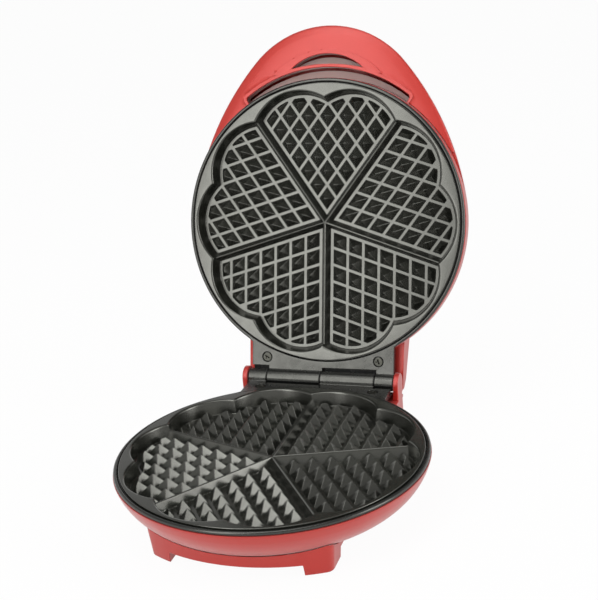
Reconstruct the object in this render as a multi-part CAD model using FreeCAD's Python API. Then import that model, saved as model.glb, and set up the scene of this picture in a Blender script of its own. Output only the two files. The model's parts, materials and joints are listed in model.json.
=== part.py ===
import FreeCAD, Part
import math
import os
from FreeCAD import Vector

# Waffle maker with five-heart plates, lid open. Millimetres, +Z up, hinge towards +Y.
# The origin is on the table, under the centre of the lower plate.
# Every piece of a half is drawn with z = 0 in the plane where the two plates meet.

# Stance and hinge
mating_height = 42.0        # plane of the plates above the table
open_angle = 106.27         # how far the lid stands open
hinge_reach = 10.5          # hinge axis behind the frame
knuckle_radius = 6.0
knuckle_gap = 0.3           # between neighbouring knuckles
hinge_half = 54.5           # half length of the row of knuckles
knuckle_split = 40.5        # where the short knuckle ends
pin_radius = 2.5
pin_clearance = 0.05        # running clearance round the pin
pin_tuck = 2.3              # pin's end inside the ear
stop_gap = 0.35             # lid to base when the lid rests open

# Cast baking plates
plate_radius = 99.5
plate_lip = 2.1             # flange beyond the body of the casting
plate_rim_drop = 0.25       # rim below the mating plane
plate_flange = 2.4
plate_depth = 13.2          # underside below the mating plane
plate_chamfer = 3.0         # lower edge of the casting
recess_depth = 10.0
heart_count = 5
heart_first = 54.0          # degrees, axis of the first heart
rim_land = 2.9              # narrowest flat of the rim, outside a lobe
lobe_rim_radius = 36.6
recess_slope = 1.8          # how far the wall leans in down to the floor
centre_margin = 20.0        # lobe centres to the clear middle
ridge_base = 6.0            # divider between two hearts
ridge_crest = 1.2
ridge_height = 6.0
ridge_tuck = 3.8            # divider's end to the floor's outermost point
pyramid_pitch = 12.2
pyramid_groove = 1.6
pyramid_height = 7.0
pyramid_tip = 0.7
pyramid_strip = 2.3         # floor beside a divider
pyramid_border = 2.2        # floor beside the wall
pyramid_least = 0.06        # a cut pyramid smaller than this share is left out
cast_root = 0.6             # how far cast features run into the floor

# Bezel frames of the plates
frame_width = 2.8           # visible lip
frame_gap = 0.7             # visible ring of shadow round the plate
frame_drop = 1.0            # lip below the mating plane
frame_edge = 2.2            # height of the visible outer edge
frame_tuck = 1.8            # step in below the visible edge
frame_ledge_bottom = 6.5
frame_ledge_clearance = 0.3
tab_step = 1.0              # tab's edge inside the row of knuckles
tab_thickness = 5.0
tab_length = 29.5           # tab's root to the hinge axis
tab_notch = 2.4             # tab edge to the other half's knuckle
apron_thickness = 1.0       # web left behind the other half's knuckles
tab_screw_inset = 11.5
tab_screw_setback = 14.5    # from the hinge axis
counterbore_radius = 3.7
counterbore_depth = 1.9

# Screws
screw_head_radius = 3.1
screw_head_height = 1.7
screw_head_round = 0.85
screw_radius = 1.6
screw_hole_clearance = 0.1
cross_width = 0.9
cross_length = 3.6
cross_depth = 1.0
tab_screw_length = 12.0
bracket_screw_length = 5.0
clamp_screw_length = 7.0
reflector_screw_length = 6.0
stand_screw_length = 9.0
small_screw_length = 6.0
boss_radius = 4.2

# Red housings
wall = 2.5
shell_gap = 0.3             # frame edge to housing
bowl_reveal = 0.5           # bowl beyond the frame
bowl_mid_inset = 6.7
bowl_mid_drop = 17.3
bowl_floor_inset = 19.0
bowl_floor_drop = 27.5
rabbet_clearance = 0.2
block_depth = 41.5          # hinge block in front of the hinge axis
block_corner = 4.0
base_block_overhang = 8.0   # rear wall behind the hinge axis
ear_clearance = 0.4         # ear to the row of knuckles
ear_width = 3.6
ear_radius = 7.5
ear_back = 6.2
ear_hole_radius = 1.6
ear_hole_y = 5.5
ear_hole_drop = 9.6

# Stand with its four legs
stand_margin = 0.5          # stand beyond the hinge block
stand_front_margin = 2.0    # stand's front beyond the bowl's floor
stand_front_bow = 118.0
stand_corner = 6.0
stand_draft = 5.0           # degrees
stand_bottom_drop = 34.0
stand_top_drop = 18.0
stand_floor = 2.2
leg_bottom_drop = 41.2
leg_width = 15.5
leg_length = 17.0
leg_inner_slope = 0.5
pad_radius = 5.5
pad_socket = 1.5
pad_clearance = 0.15
pad_inset = 7.8
stand_screw_inset = 19.0
stand_screw_y = 45.0

# Lid shell and handle
lid_reveal = 0.3            # lid beyond the frame
handle_length = 37.5        # nose beyond the lid's circle
nose_radius = 73.0
flank_radius = 204.0        # curve from the lid's circle to the nose
parting_height = 10.6
lid_top = 37.0
dome_inset = 32.0
dome_steps = 6
roll_end = 84.0             # degrees, where the rounded rims run out into flats
lid_edge = 9.5              # underside of the lid's hinge block
lid_block_overhang = 7.5
lid_block_back = 15.0
lid_block_shoulder = 21.0
lid_block_round = 3.5
shelf_width = 3.7
shelf_thickness = 2.5
cover_start = 50.0          # where the handle's underside begins
cheek_length = 10.0         # solid corner between lid and handle
cover_drop = 3.6            # underside of the handle below the parting plane
cover_roll = 20.0           # width over which the underside rolls up to the edge
cover_wall = 2.2
cover_clearance = 0.3
tongue_thickness = 1.4
tongue_height = 2.0
slot_width = 7.7            # slot outside the lid's circle
slot_half_angle = 34.6
slot_shift = 13.0           # centre of the slot's outer arc, towards the handle
slot_corner = 2.2           # rounded ends of the slot
lip_width = 2.4
lip_margin = 1.0            # degrees of lip past each end of the slot
lip_rise = 0.8
pocket_half = 26.5
pocket_depth = 7.1          # pocket in front of the lip
pocket_rim_side = 14.0
pocket_rim_width = 2.7
shield_rise = 3.0           # sheet above the parting plane
shield_thickness = 0.8
shield_vent = 2.0           # open strip along the slot and the pocket
shield_margin = 4.8         # sheet beyond the pocket's rim
shield_side_angle = 2.9     # degrees beyond the slot
shield_inset = 7.0
shield_post_radius = 3.2
shield_post_x = 46.0
shield_post_setback = 1.4   # posts behind the lip

# Heating and electrical pieces
heater_margin = 17.0        # ring inside the reflector's floor
heater_tube = 2.75
heater_gap_angle = 26.0
heater_lift = 0.05
terminal_radius = 1.5
terminal_length = 14.8
clamp_count = 3
clamp_first = 270.0         # degrees
clamp_offset = 12.0         # clamp bosses inside the ring
clamp_half_width = 5.0
clamp_thickness = 1.2
clamp_reach = 18.0
bracket_thickness = 1.5
bracket_half_width = 5.4
bracket_end = 3.0           # bracket past its screw
bracket_screw_inset = 3.8
bracket_overlap = 1.9       # bracket past the casting, under the frame
bracket_pocket_clearance = 0.4
reflector_margin = 10.4     # rim inside the casting
reflector_flare = 8.0
reflector_drop = 21.9
reflector_sheet = 0.7
reflector_boss_offset = 24.0    # its bosses inside the ring
reflector_hole = 5.0
thermostat_radius = 8.0
thermostat_height = 6.6
thermostat_screw_x = 12.0
thermostat_flange = 1.0
thermostat_boss = 3.6
thermostat_boss_radius = 3.2
fuse_radius = 2.1
fuse_length = 12.0
fuse_y = -26.0
fuse_clip_wall = 1.0
terminal_block_x = 17.0
terminal_block_setback = 16.5   # from the hinge axis
terminal_block_depth = 13.0
terminal_block_height = 11.0
terminal_bore = 1.8
gland_radius = 5.4
gland_bore = 3.5
gland_flange = 6.2
gland_flange_thickness = 2.0
gland_drop = 18.8
gland_clearance = 0.1
lead_radius = 1.2
lead_clearance = 0.6
lens_radius = 4.5
lens_stem = 3.6
lens_rise = 1.2
lens_round = 0.7
lens_clearance = 0.15
lens_x = 13.0
lens_y = -66.0
lamp_radius = 3.0
lamp_length = 8.0
holder_thickness = 1.5
holder_half = 30.0
holder_depth = 7.0
holder_screw_x = 25.0
lid_terminal_gap = 2.0      # above the reflector

# Places worked out from the sizes above
floor_z = -plate_rim_drop - recess_depth
plate_body_radius = plate_radius - plate_lip
lobe_floor_radius = lobe_rim_radius - recess_slope
lobe_orbit = plate_radius - rim_land - lobe_rim_radius
centre_clear_radius = lobe_orbit - centre_margin
ridge_reach = lobe_orbit + lobe_floor_radius - ridge_tuck
frame_inner = plate_radius + frame_gap
frame_radius = frame_inner + frame_width
frame_tuck_radius = frame_radius - frame_tuck
ledge_inner = plate_body_radius + frame_ledge_clearance
ledge_top = -plate_rim_drop - plate_flange
frame_edge_z = -frame_drop - frame_edge
tab_bottom = -frame_drop - tab_thickness
hinge_y = frame_radius + hinge_reach
tab_half = hinge_half - tab_step
tab_root_y = hinge_y - tab_length
tab_screw_x = tab_half - tab_screw_inset
tab_screw_y = hinge_y - tab_screw_setback
pin_half = hinge_half + pin_tuck
housing_edge = frame_edge_z - shell_gap
rabbet_radius = frame_tuck_radius + rabbet_clearance
bowl_radius = frame_radius + bowl_reveal
bowl_mid_radius = bowl_radius - bowl_mid_inset
bowl_floor_radius = bowl_radius - bowl_floor_inset
bowl_floor_z = -bowl_floor_drop
bowl_inside_z = bowl_floor_z + wall
ear_inner = hinge_half + ear_clearance
block_half = ear_inner + ear_width
block_front_y = hinge_y - block_depth
opened = math.radians(open_angle)
stop_y = lid_block_overhang * math.cos(opened) + lid_edge * math.sin(opened)
stop_z = -lid_block_overhang * math.sin(opened) + lid_edge * math.cos(opened)
rear_slope = math.cos(opened) / math.sin(opened)
block_top = stop_z + (base_block_overhang - stop_y) * rear_slope - stop_gap / math.sin(opened)
base_rear = hinge_y + base_block_overhang
lid_rear = hinge_y + lid_block_overhang
stand_half = block_half + stand_margin
stand_front = bowl_floor_radius + stand_front_margin
stand_floor_z = -stand_bottom_drop + stand_floor
stand_screw_x = stand_half - stand_screw_inset
leg_inner = stand_half - leg_width
lid_radius = frame_radius + lid_reveal
nose_offset = lid_radius + handle_length - nose_radius
flank_rear = flank_radius - lid_radius
flank_front = flank_radius - nose_radius
flank_y = (flank_front ** 2 - flank_rear ** 2 - nose_offset ** 2) / (2 * nose_offset)
flank_x = math.sqrt(flank_rear ** 2 - flank_y ** 2)
cheek_front = cover_start + cheek_length
shelf_inner = lid_radius - shelf_width
slot_outer = lid_radius + slot_width
lip_outer = slot_outer + lip_width
pocket_front = lip_outer + pocket_depth
pocket_rim_half = pocket_half + pocket_rim_side
pocket_rim_front = pocket_front + pocket_rim_width
shield_height = parting_height + shield_rise
shield_reach = pocket_rim_front + shield_margin
shield_half_angle = slot_half_angle + shield_side_angle
shield_post_y = lip_outer - shield_post_setback
reflector_rim = plate_body_radius - reflector_margin
reflector_floor = reflector_rim - reflector_flare
heater_orbit = reflector_floor - heater_margin
heater_z = -plate_depth - heater_lift - heater_tube
clamp_boss_orbit = heater_orbit - clamp_offset
clamp_top = heater_z - heater_tube - heater_lift
reflector_boss_orbit = heater_orbit - reflector_boss_offset
bracket_screw_orbit = plate_body_radius - bracket_screw_inset
bracket_inner = bracket_screw_orbit - bracket_end
bracket_outer = plate_body_radius + bracket_overlap
terminal_block_y = hinge_y - terminal_block_setback
lid_terminal_low = reflector_drop + reflector_sheet + lid_terminal_gap
screw_hole = screw_radius + screw_hole_clearance
heart_angles = [heart_first + 360.0 / heart_count * k for k in range(heart_count)]
ridge_angles = [a + 180.0 / heart_count for a in heart_angles]
lobe_half_angle = 90.0 / heart_count
clamp_angles = [clamp_first + 360.0 / clamp_count * k for k in range(clamp_count)]
boss_angles = [a + 180.0 / clamp_count for a in clamp_angles]


def cylinder(radius, low, high, x=0.0, y=0.0):
    return Part.makeCylinder(radius, high - low, Vector(x, y, low))


def rod_x(radius, left, right, y, z):
    return Part.makeCylinder(radius, right - left, Vector(left, y, z), Vector(1, 0, 0))


def rod_y(radius, front, back, x, z):
    return Part.makeCylinder(radius, back - front, Vector(x, front, z), Vector(0, 1, 0))


def block(left, right, front, back, low, high):
    return Part.makeBox(right - left, back - front, high - low, Vector(left, front, low))


def tube(inner, outer, low, high):
    return cylinder(outer, low, high).cut(cylinder(inner, low, high))


def polar(radius, degrees, z=0.0):
    angle = math.radians(degrees)
    return Vector(radius * math.cos(angle), radius * math.sin(angle), z)


def turned(points):
    """Solid of revolution about Z from corners (radius, z)."""
    corners = [Vector(r, 0, z) for r, z in points]
    face = Part.Face(Part.makePolygon(corners + corners[:1]))
    return face.revolve(Vector(0, 0, 0), Vector(0, 0, 1), 360)


def plate_of(points, low, high):
    """Flat prism from corners (x, y)."""
    corners = [Vector(x, y, low) for x, y in points]
    face = Part.Face(Part.makePolygon(corners + corners[:1]))
    return face.extrude(Vector(0, 0, high - low))


def side_prism(points, half):
    """Prism across X from corners (y, z)."""
    corners = [Vector(-half, y, z) for y, z in points]
    face = Part.Face(Part.makePolygon(corners + corners[:1]))
    return face.extrude(Vector(2 * half, 0, 0))


def prismatoid(rings):
    """Solid with flat sides through rings that have the same number of corners."""
    faces = [Part.Face(Part.makePolygon(ring + ring[:1])) for ring in (rings[0], rings[-1])]
    for low, high in zip(rings, rings[1:]):
        for k in range(len(low)):
            n = (k + 1) % len(low)
            faces.append(Part.Face(Part.makePolygon([low[k], low[n], high[n], high[k], low[k]])))
    solid = Part.Solid(Part.Shell(faces))
    if solid.Volume < 0:
        solid.reverse()
    return solid


def turn(shape, degrees):
    copy = shape.copy()
    copy.rotate(Vector(0, 0, 0), Vector(0, 0, 1), degrees)
    return copy


def joined(shapes):
    return shapes[0].multiFuse(shapes[1:]).removeSplitter()


def screw(length, x, y, seat):
    """Cross-head screw pointing up, its head's upper side on the seat."""
    under = seat - screw_head_height
    head = cylinder(screw_head_radius, under, seat, x, y)
    crown = [e for e in head.Edges if e.BoundBox.ZMax < under + screw_head_round]
    head = head.makeFillet(screw_head_round, crown)
    body = head.fuse(cylinder(screw_radius, under + screw_head_round, seat + length, x, y))
    for across, along in ((cross_width, cross_length), (cross_length, cross_width)):
        body = body.cut(block(x - across / 2, x + across / 2, y - along / 2, y + along / 2,
                              under - cross_depth, under + cross_depth))
    return body


def hung_screw(length, x, y, seat):
    """The same screw pointing down."""
    shape = screw(length, 0, 0, 0)
    shape.rotate(Vector(0, 0, 0), Vector(1, 0, 0), 180)
    shape.translate(Vector(x, y, seat))
    return shape


# Baking plate

def lobe_centres(axis):
    return [polar(lobe_orbit, axis - lobe_half_angle), polar(lobe_orbit, axis + lobe_half_angle)]


def recess():
    parts = [Part.makeCone(centre_clear_radius - lobe_rim_radius + lobe_floor_radius, centre_clear_radius,
                           recess_depth, Vector(0, 0, floor_z))]
    for axis in heart_angles:
        for centre in lobe_centres(axis):
            foot = Vector(centre.x, centre.y, floor_z)
            parts.append(Part.makeCone(lobe_floor_radius, lobe_rim_radius, recess_depth, foot))
    return joined(parts)


def ridge(angle):
    """Divider between two hearts, a bar that narrows to a crest."""
    low = floor_z - cast_root
    high = floor_z + ridge_height
    sections = []
    for reach in (0.0, ridge_reach):
        sections.append([Vector(reach, -ridge_base / 2, low), Vector(reach, ridge_base / 2, low),
                         Vector(reach, ridge_base / 2, floor_z), Vector(reach, ridge_crest / 2, high),
                         Vector(reach, -ridge_crest / 2, high), Vector(reach, -ridge_base / 2, floor_z)])
    return turn(prismatoid(sections), angle)


def heart_pyramids():
    """Pyramids of the heart on +X, in rows along its two dividers."""
    spread = 180.0 / heart_count
    lean = math.sin(math.radians(2 * spread))
    across = polar(1.0, -spread)
    along = polar(1.0, spread)
    edge = pyramid_pitch - pyramid_groove / lean
    first = (ridge_base / 2 + pyramid_strip) / lean
    clip_radius = lobe_floor_radius - pyramid_border
    centres = lobe_centres(0.0)
    inner = lobe_orbit * math.cos(math.radians(lobe_half_angle))
    wedge = [Vector(0, 0, 0), polar(inner, -spread), Vector(inner, 0, 0), polar(inner, spread)]
    low = floor_z - cast_root
    high = floor_z + pyramid_height
    run = (edge - pyramid_tip) / 2 * lean
    foot = clip_radius + run * cast_root / pyramid_height
    clip = plate_of([(p.x, p.y) for p in wedge], low, high)
    clip = clip.multiFuse([Part.makeCone(foot, clip_radius - run, high - low, Vector(c.x, c.y, low))
                           for c in centres])

    def inside(p):
        if min((p - c).Length for c in centres) < clip_radius:
            return True
        return p.x < inner * math.cos(math.radians(spread))

    rows = int(math.ceil((lobe_orbit + lobe_floor_radius) / pyramid_pitch))
    found = []
    for i in range(rows):
        for j in range(rows):
            corner = across * (first + i * pyramid_pitch) + along * (first + j * pyramid_pitch)
            base = [corner, corner + across * edge, corner + (across + along) * edge, corner + along * edge]
            middle = corner + (across + along) * (edge / 2)
            hits = [inside(p) for p in base]
            if not any(hits) and not inside(middle):
                continue
            tip = [middle + (p - middle) * (pyramid_tip / edge) for p in base]
            rings = [[p + Vector(0, 0, z) for p in ring]
                     for ring, z in ((base, low), (base, floor_z), (tip, high))]
            solid = prismatoid(rings)
            if not all(hits):
                whole = solid.Volume
                pieces = [s for s in solid.common(clip).Solids if s.Volume > pyramid_least * whole]
                found.extend(pieces)
            else:
                found.append(solid)
    return found


def bracket_cuts():
    """Pockets under the rim at the hearts' notches, with their screw holes."""
    pocket = block(bracket_inner - bracket_pocket_clearance, plate_radius,
                   -bracket_half_width - bracket_pocket_clearance,
                   bracket_half_width + bracket_pocket_clearance, -plate_depth, -frame_ledge_bottom)
    top = bracket_screw_length - frame_ledge_bottom
    hole = cylinder(screw_hole, -frame_ledge_bottom, top, bracket_screw_orbit)
    return [turn(cut, angle) for angle in heart_angles for cut in (pocket, hole)]


def plate_rim():
    """Rim and wall of the casting, above the floor of the hearts."""
    rim = -plate_rim_drop
    body = turned([(0, floor_z), (plate_body_radius, floor_z), (plate_body_radius, ledge_top),
                   (plate_radius, ledge_top), (plate_radius, rim), (0, rim)])
    return body.cut(recess()).cut(Part.makeCompound(bracket_cuts())).Solids[0]


def baking_plate():
    """Floor of the casting with its pyramids, dividers and the bosses below."""
    body = turned([(0, -plate_depth), (plate_body_radius - plate_chamfer, -plate_depth),
                   (plate_body_radius, plate_chamfer - plate_depth), (plate_body_radius, floor_z),
                   (0, floor_z)])
    features = [ridge(a) for a in ridge_angles]
    for axis in heart_angles:
        features.extend(turn(p, axis) for p in heart_pyramids())
    for angle in clamp_angles:
        p = polar(clamp_boss_orbit, angle)
        features.append(cylinder(boss_radius, clamp_top, cast_root - plate_depth, p.x, p.y))
    for angle in boss_angles:
        p = polar(reflector_boss_orbit, angle)
        features.append(cylinder(boss_radius, -reflector_drop, cast_root - plate_depth, p.x, p.y))
    for x in (-thermostat_screw_x, thermostat_screw_x):
        low = -plate_depth - thermostat_boss
        features.append(cylinder(thermostat_boss_radius, low, cast_root - plate_depth, x, 0))
    body = body.multiFuse(features)
    cuts = bracket_cuts()
    for angle in clamp_angles:
        p = polar(clamp_boss_orbit, angle)
        cuts.append(cylinder(screw_hole, clamp_top, clamp_top + clamp_screw_length, p.x, p.y))
    for angle in boss_angles:
        p = polar(reflector_boss_orbit, angle)
        cuts.append(cylinder(screw_hole, -reflector_drop, reflector_screw_length - reflector_drop, p.x, p.y))
    for x in (-thermostat_screw_x, thermostat_screw_x):
        seat = -plate_depth - thermostat_boss
        cuts.append(cylinder(screw_hole, seat, seat + small_screw_length - thermostat_flange, x, 0))
    return body.cut(Part.makeCompound(cuts)).cut(plate_rim()).Solids[0]


# Bezel frame with its hinge tab

def own_knuckles():
    space = knuckle_gap / 2
    return [(-hinge_half, -knuckle_split - space), (space, knuckle_split - space)]


def bezel_frame():
    ring = turned([(frame_inner, -frame_drop), (frame_radius, -frame_drop), (frame_radius, frame_edge_z),
                   (frame_tuck_radius, frame_edge_z), (frame_tuck_radius, -frame_ledge_bottom),
                   (ledge_inner, -frame_ledge_bottom), (ledge_inner, ledge_top), (frame_inner, ledge_top)])
    notch_y = hinge_y - knuckle_radius - tab_notch
    apron_reach = math.sqrt((knuckle_radius + knuckle_gap) ** 2 - (tab_bottom + apron_thickness) ** 2)
    apron_y = hinge_y - apron_reach
    tab = block(-tab_half, tab_half, tab_root_y, notch_y, tab_bottom, -frame_drop)
    webs = []
    for left, right in own_knuckles():
        webs.append(rod_x(knuckle_radius, left, right, hinge_y, 0))
        webs.append(block(max(left, -tab_half), right, notch_y, hinge_y, tab_bottom, -frame_drop))
        webs.append(block(-right, min(-left, tab_half), notch_y, apron_y,
                          tab_bottom, tab_bottom + apron_thickness))
    tab = joined([tab] + webs)
    tab = tab.cut(cylinder(frame_inner, tab_bottom, 0))
    frame = ring.fuse(tab).removeSplitter()
    frame = frame.cut(rod_x(pin_radius + pin_clearance, -hinge_half, hinge_half, hinge_y, 0))
    for x in (-tab_screw_x, tab_screw_x):
        frame = frame.cut(cylinder(screw_hole, tab_bottom, 0, x, tab_screw_y))
        frame = frame.cut(cylinder(counterbore_radius, -frame_drop - counterbore_depth, 0, x, tab_screw_y))
    return frame.Solids[0]


def tab_screws():
    seat = -frame_drop - counterbore_depth
    return [hung_screw(tab_screw_length, x, tab_screw_y, seat) for x in (-tab_screw_x, tab_screw_x)]


# Heating pieces that both halves have

def heater():
    """Tubular ring with a gap at the back, its ends turned down into terminal pins."""
    sweep = 360.0 - 2 * heater_gap_angle
    ring = Part.makeTorus(heater_orbit, heater_tube, Vector(0, 0, 0), Vector(0, 0, 1), 0, 360, sweep)
    ring.rotate(Vector(0, 0, 0), Vector(0, 0, 1), 90 + heater_gap_angle)
    ring.translate(Vector(0, 0, heater_z))
    pieces = [ring]
    for angle in (90 - heater_gap_angle, 90 + heater_gap_angle):
        p = polar(heater_orbit, angle, heater_z)
        pieces.append(Part.makeSphere(heater_tube, p))
        pieces.append(cylinder(terminal_radius, heater_z - terminal_length, heater_z, p.x, p.y))
    return joined(pieces)


def terminal_points():
    return [polar(heater_orbit, 90 + side * heater_gap_angle) for side in (-1, 1)]


def heater_clamps():
    bars = []
    for angle in clamp_angles:
        inner = clamp_boss_orbit - boss_radius
        bar = block(inner, clamp_boss_orbit + clamp_reach, -clamp_half_width, clamp_half_width,
                    clamp_top - clamp_thickness, clamp_top)
        bar = bar.cut(cylinder(screw_hole, clamp_top - clamp_thickness, clamp_top, clamp_boss_orbit))
        bars.append(turn(bar, angle))
    return bars


def clamp_screws():
    seat = clamp_top - clamp_thickness
    points = [polar(clamp_boss_orbit, a) for a in clamp_angles]
    return [screw(clamp_screw_length, p.x, p.y, seat) for p in points]


def plate_brackets():
    low = -frame_ledge_bottom - bracket_thickness
    high = -frame_ledge_bottom
    bar = block(bracket_inner, bracket_outer, -bracket_half_width, bracket_half_width, low, high)
    bar = bar.cut(cylinder(screw_hole, low, high, bracket_screw_orbit))
    bar = bar.common(cylinder(bracket_outer, low, high))
    return [turn(bar, a) for a in heart_angles]


def bracket_screws():
    points = [polar(bracket_screw_orbit, a) for a in heart_angles]
    seat = -frame_ledge_bottom - bracket_thickness
    return [screw(bracket_screw_length, p.x, p.y, seat) for p in points]


def reflector():
    """Sheet-metal pan that sends the heat back to the plate."""
    low = -reflector_drop - reflector_sheet
    top = -plate_depth - heater_lift
    pan = turned([(0, low), (reflector_floor, low), (reflector_rim, top),
                  (reflector_rim - reflector_sheet, top),
                  (reflector_floor - reflector_sheet / 2, -reflector_drop), (0, -reflector_drop)])
    for angle in boss_angles:
        p = polar(reflector_boss_orbit, angle)
        pan = pan.cut(cylinder(screw_hole, low, -reflector_drop, p.x, p.y))
    for p in terminal_points():
        pan = pan.cut(cylinder(reflector_hole, low, -reflector_drop, p.x, p.y))
    return pan


def reflector_screws():
    points = [polar(reflector_boss_orbit, a) for a in boss_angles]
    seat = -reflector_drop - reflector_sheet
    return [screw(reflector_screw_length, p.x, p.y, seat) for p in points]


# Base housing

def bowl_profile(inset, top):
    """Half section of the bowl, drawn in by the given amount."""
    edge = Vector(bowl_radius - inset, 0, top)
    middle = Vector(bowl_mid_radius - inset, 0, -bowl_mid_drop)
    foot = Vector(bowl_floor_radius - inset, 0, bowl_floor_z + inset)
    arc = Part.Arc(edge, middle, foot).toShape()
    axis_low = Vector(0, 0, foot.z)
    axis_high = Vector(0, 0, top)
    wire = Part.Wire([arc, Part.makeLine(foot, axis_low), Part.makeLine(axis_low, axis_high),
                      Part.makeLine(axis_high, edge)])
    return Part.Face(wire).revolve(Vector(0, 0, 0), Vector(0, 0, 1), 360)


def block_prism(half, front, back, low, high, corner):
    prism = block(-half, half, front, back, low, high)
    upright = [e for e in prism.Edges if e.BoundBox.ZLength > corner and e.BoundBox.YMin > back - corner]
    return prism.makeFillet(corner, upright)


def base_bowl():
    outer = bowl_profile(0.0, housing_edge)
    inner = bowl_profile(wall, housing_edge)
    rabbet = cylinder(rabbet_radius, -frame_ledge_bottom, 0)
    rear_outer = block_prism(block_half, block_front_y, base_rear, bowl_floor_z, block_top, block_corner)
    rear_inner = block_prism(block_half - wall, block_front_y, base_rear - wall,
                             bowl_inside_z, block_top - wall, block_corner - wall / 2)
    shell = outer.fuse(rear_outer)
    shell = shell.cut(inner).cut(rear_inner).cut(rabbet)
    ear = joined([rod_x(ear_radius, ear_inner, block_half, hinge_y, 0),
                  block(ear_inner, block_half, hinge_y - ear_radius, hinge_y + ear_back,
                        block_top - wall, 0)])
    ear = ear.cut(rod_x(pin_radius + pin_clearance, ear_inner, pin_half + pin_clearance, hinge_y, 0))
    ears = [ear, ear.mirror(Vector(0, 0, 0), Vector(1, 0, 0))]
    bosses = [cylinder(boss_radius, block_top - wall, tab_bottom, x, tab_screw_y)
              for x in (-tab_screw_x, tab_screw_x)]
    for x in (-stand_screw_x, stand_screw_x):
        for y in (-stand_screw_y, stand_screw_y):
            bosses.append(cylinder(boss_radius, bowl_floor_z, bowl_floor_z + wall, x, y))
    shell = joined([shell] + ears + bosses)
    tab_room = block(-tab_half - shell_gap, tab_half + shell_gap, tab_root_y - wall, hinge_y, tab_bottom, 0)
    cuts = [tab_room.cut(joined([rod_x(ear_radius, -block_half, -ear_inner, hinge_y, 0),
                                 rod_x(ear_radius, ear_inner, block_half, hinge_y, 0)]))]
    for x in (-tab_screw_x, tab_screw_x):
        cuts.append(cylinder(screw_hole, tab_bottom - tab_screw_length, tab_bottom, x, tab_screw_y))
    for x in (-stand_screw_x, stand_screw_x):
        for y in (-stand_screw_y, stand_screw_y):
            cuts.append(cylinder(screw_hole, bowl_floor_z, 0, x, y))
    for p in terminal_points():
        cuts.append(cylinder(reflector_hole, bowl_floor_z, bowl_inside_z, p.x, p.y))
    cuts.append(block(-terminal_block_x - wall, terminal_block_x + wall, terminal_block_y - wall,
                      terminal_block_y + terminal_block_depth + wall, bowl_floor_z, bowl_inside_z))
    cuts.append(rod_y(gland_radius + gland_clearance, base_rear - wall, base_rear, 0, -gland_drop))
    hole_y = hinge_y + ear_hole_y
    cuts.append(rod_x(ear_hole_radius, -block_half, -block_half + wall, hole_y, -ear_hole_drop))
    cuts.append(rod_x(ear_hole_radius, block_half - wall, block_half, hole_y, -ear_hole_drop))
    return shell.cut(Part.makeCompound(cuts)).Solids[0]


def stand_outline(grow, back, z):
    half = stand_half + grow
    bow = stand_front_bow + grow
    apex = -stand_front - grow
    side = apex + bow - math.sqrt(bow ** 2 - half ** 2)
    arc = Part.Arc(Vector(-half, side, z), Vector(0, apex, z), Vector(half, side, z)).toShape()
    corners = [Vector(half, side, z), Vector(half, back, z), Vector(-half, back, z), Vector(-half, side, z)]
    lines = [Part.makeLine(a, b) for a, b in zip(corners, corners[1:])]
    return Part.Wire([arc] + lines)


def stand_solid(inset, low, high, corner):
    """Tapered block of the stand between two heights, its upright corners rounded."""
    slope = math.tan(math.radians(stand_draft))
    back = base_rear - inset
    wires = [stand_outline((z + leg_bottom_drop) * slope - inset, back, z) for z in (low, high)]
    solid = Part.makeLoft(wires, True, True)
    upright = [e for e in solid.Edges if e.BoundBox.ZLength > 0.9 * (high - low)]
    return solid.makeFillet(corner, upright)


def base_stand():
    outer = stand_solid(0.0, -leg_bottom_drop, -stand_top_drop, stand_corner)
    inner = stand_solid(wall, stand_floor_z, -stand_top_drop, stand_corner - wall)
    bowl = bowl_profile(-shell_gap, 0.0)
    under = bowl_floor_z - shell_gap
    rear = block(-2 * stand_half, 2 * stand_half, block_front_y, 2 * base_rear, under, 0)
    middle = block(-2 * stand_half, 2 * stand_half, -2 * base_rear, 2 * base_rear, -2 * leg_bottom_drop,
                   -stand_bottom_drop)
    front_edge = -stand_front + stand_front_bow - math.sqrt(stand_front_bow ** 2 - stand_half ** 2)
    legs = []
    for side in (-1, 1):
        for near, far in ((-2 * base_rear, front_edge + leg_length), (base_rear - leg_length, 2 * base_rear)):
            top = [(leg_inner - leg_inner_slope) * side, 2 * stand_half * side]
            foot = [leg_inner * side, 2 * stand_half * side]
            rings = []
            for edge, z in ((foot, -leg_bottom_drop), (top, -stand_bottom_drop)):
                rings.append([Vector(edge[0], near, z), Vector(edge[1], near, z),
                              Vector(edge[1], far, z), Vector(edge[0], far, z)])
            legs.append(prismatoid(rings))
    shape = outer.cut(inner).cut(bowl.fuse(rear))
    shape = shape.cut(middle.cut(Part.makeCompound(legs)))
    posts = []
    cuts = []
    for x in (-stand_screw_x, stand_screw_x):
        for y in (-stand_screw_y, stand_screw_y):
            posts.append(cylinder(boss_radius, -stand_bottom_drop, bowl_floor_z, x, y))
            cuts.append(cylinder(screw_hole, -stand_bottom_drop, bowl_floor_z, x, y))
    for x, y in pad_points():
        socket = pad_radius + pad_clearance
        cuts.append(cylinder(socket, -leg_bottom_drop, pad_socket - leg_bottom_drop, x, y))
    shape = joined([shape] + posts)
    return shape.cut(Part.makeCompound(cuts)).Solids[0]


def pad_points():
    front_edge = -stand_front + stand_front_bow - math.sqrt(stand_front_bow ** 2 - stand_half ** 2)
    x = stand_half - pad_inset
    return [(s * x, y) for s in (-1, 1) for y in (front_edge + leg_length / 2, base_rear - pad_inset)]


def foot_pads():
    return [cylinder(pad_radius, -mating_height, pad_socket - leg_bottom_drop, x, y) for x, y in pad_points()]


def stand_screws():
    seat = -stand_bottom_drop
    return [screw(stand_screw_length, x, y, seat)
            for x in (-stand_screw_x, stand_screw_x) for y in (-stand_screw_y, stand_screw_y)]


# Electrical pieces of the base

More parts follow.
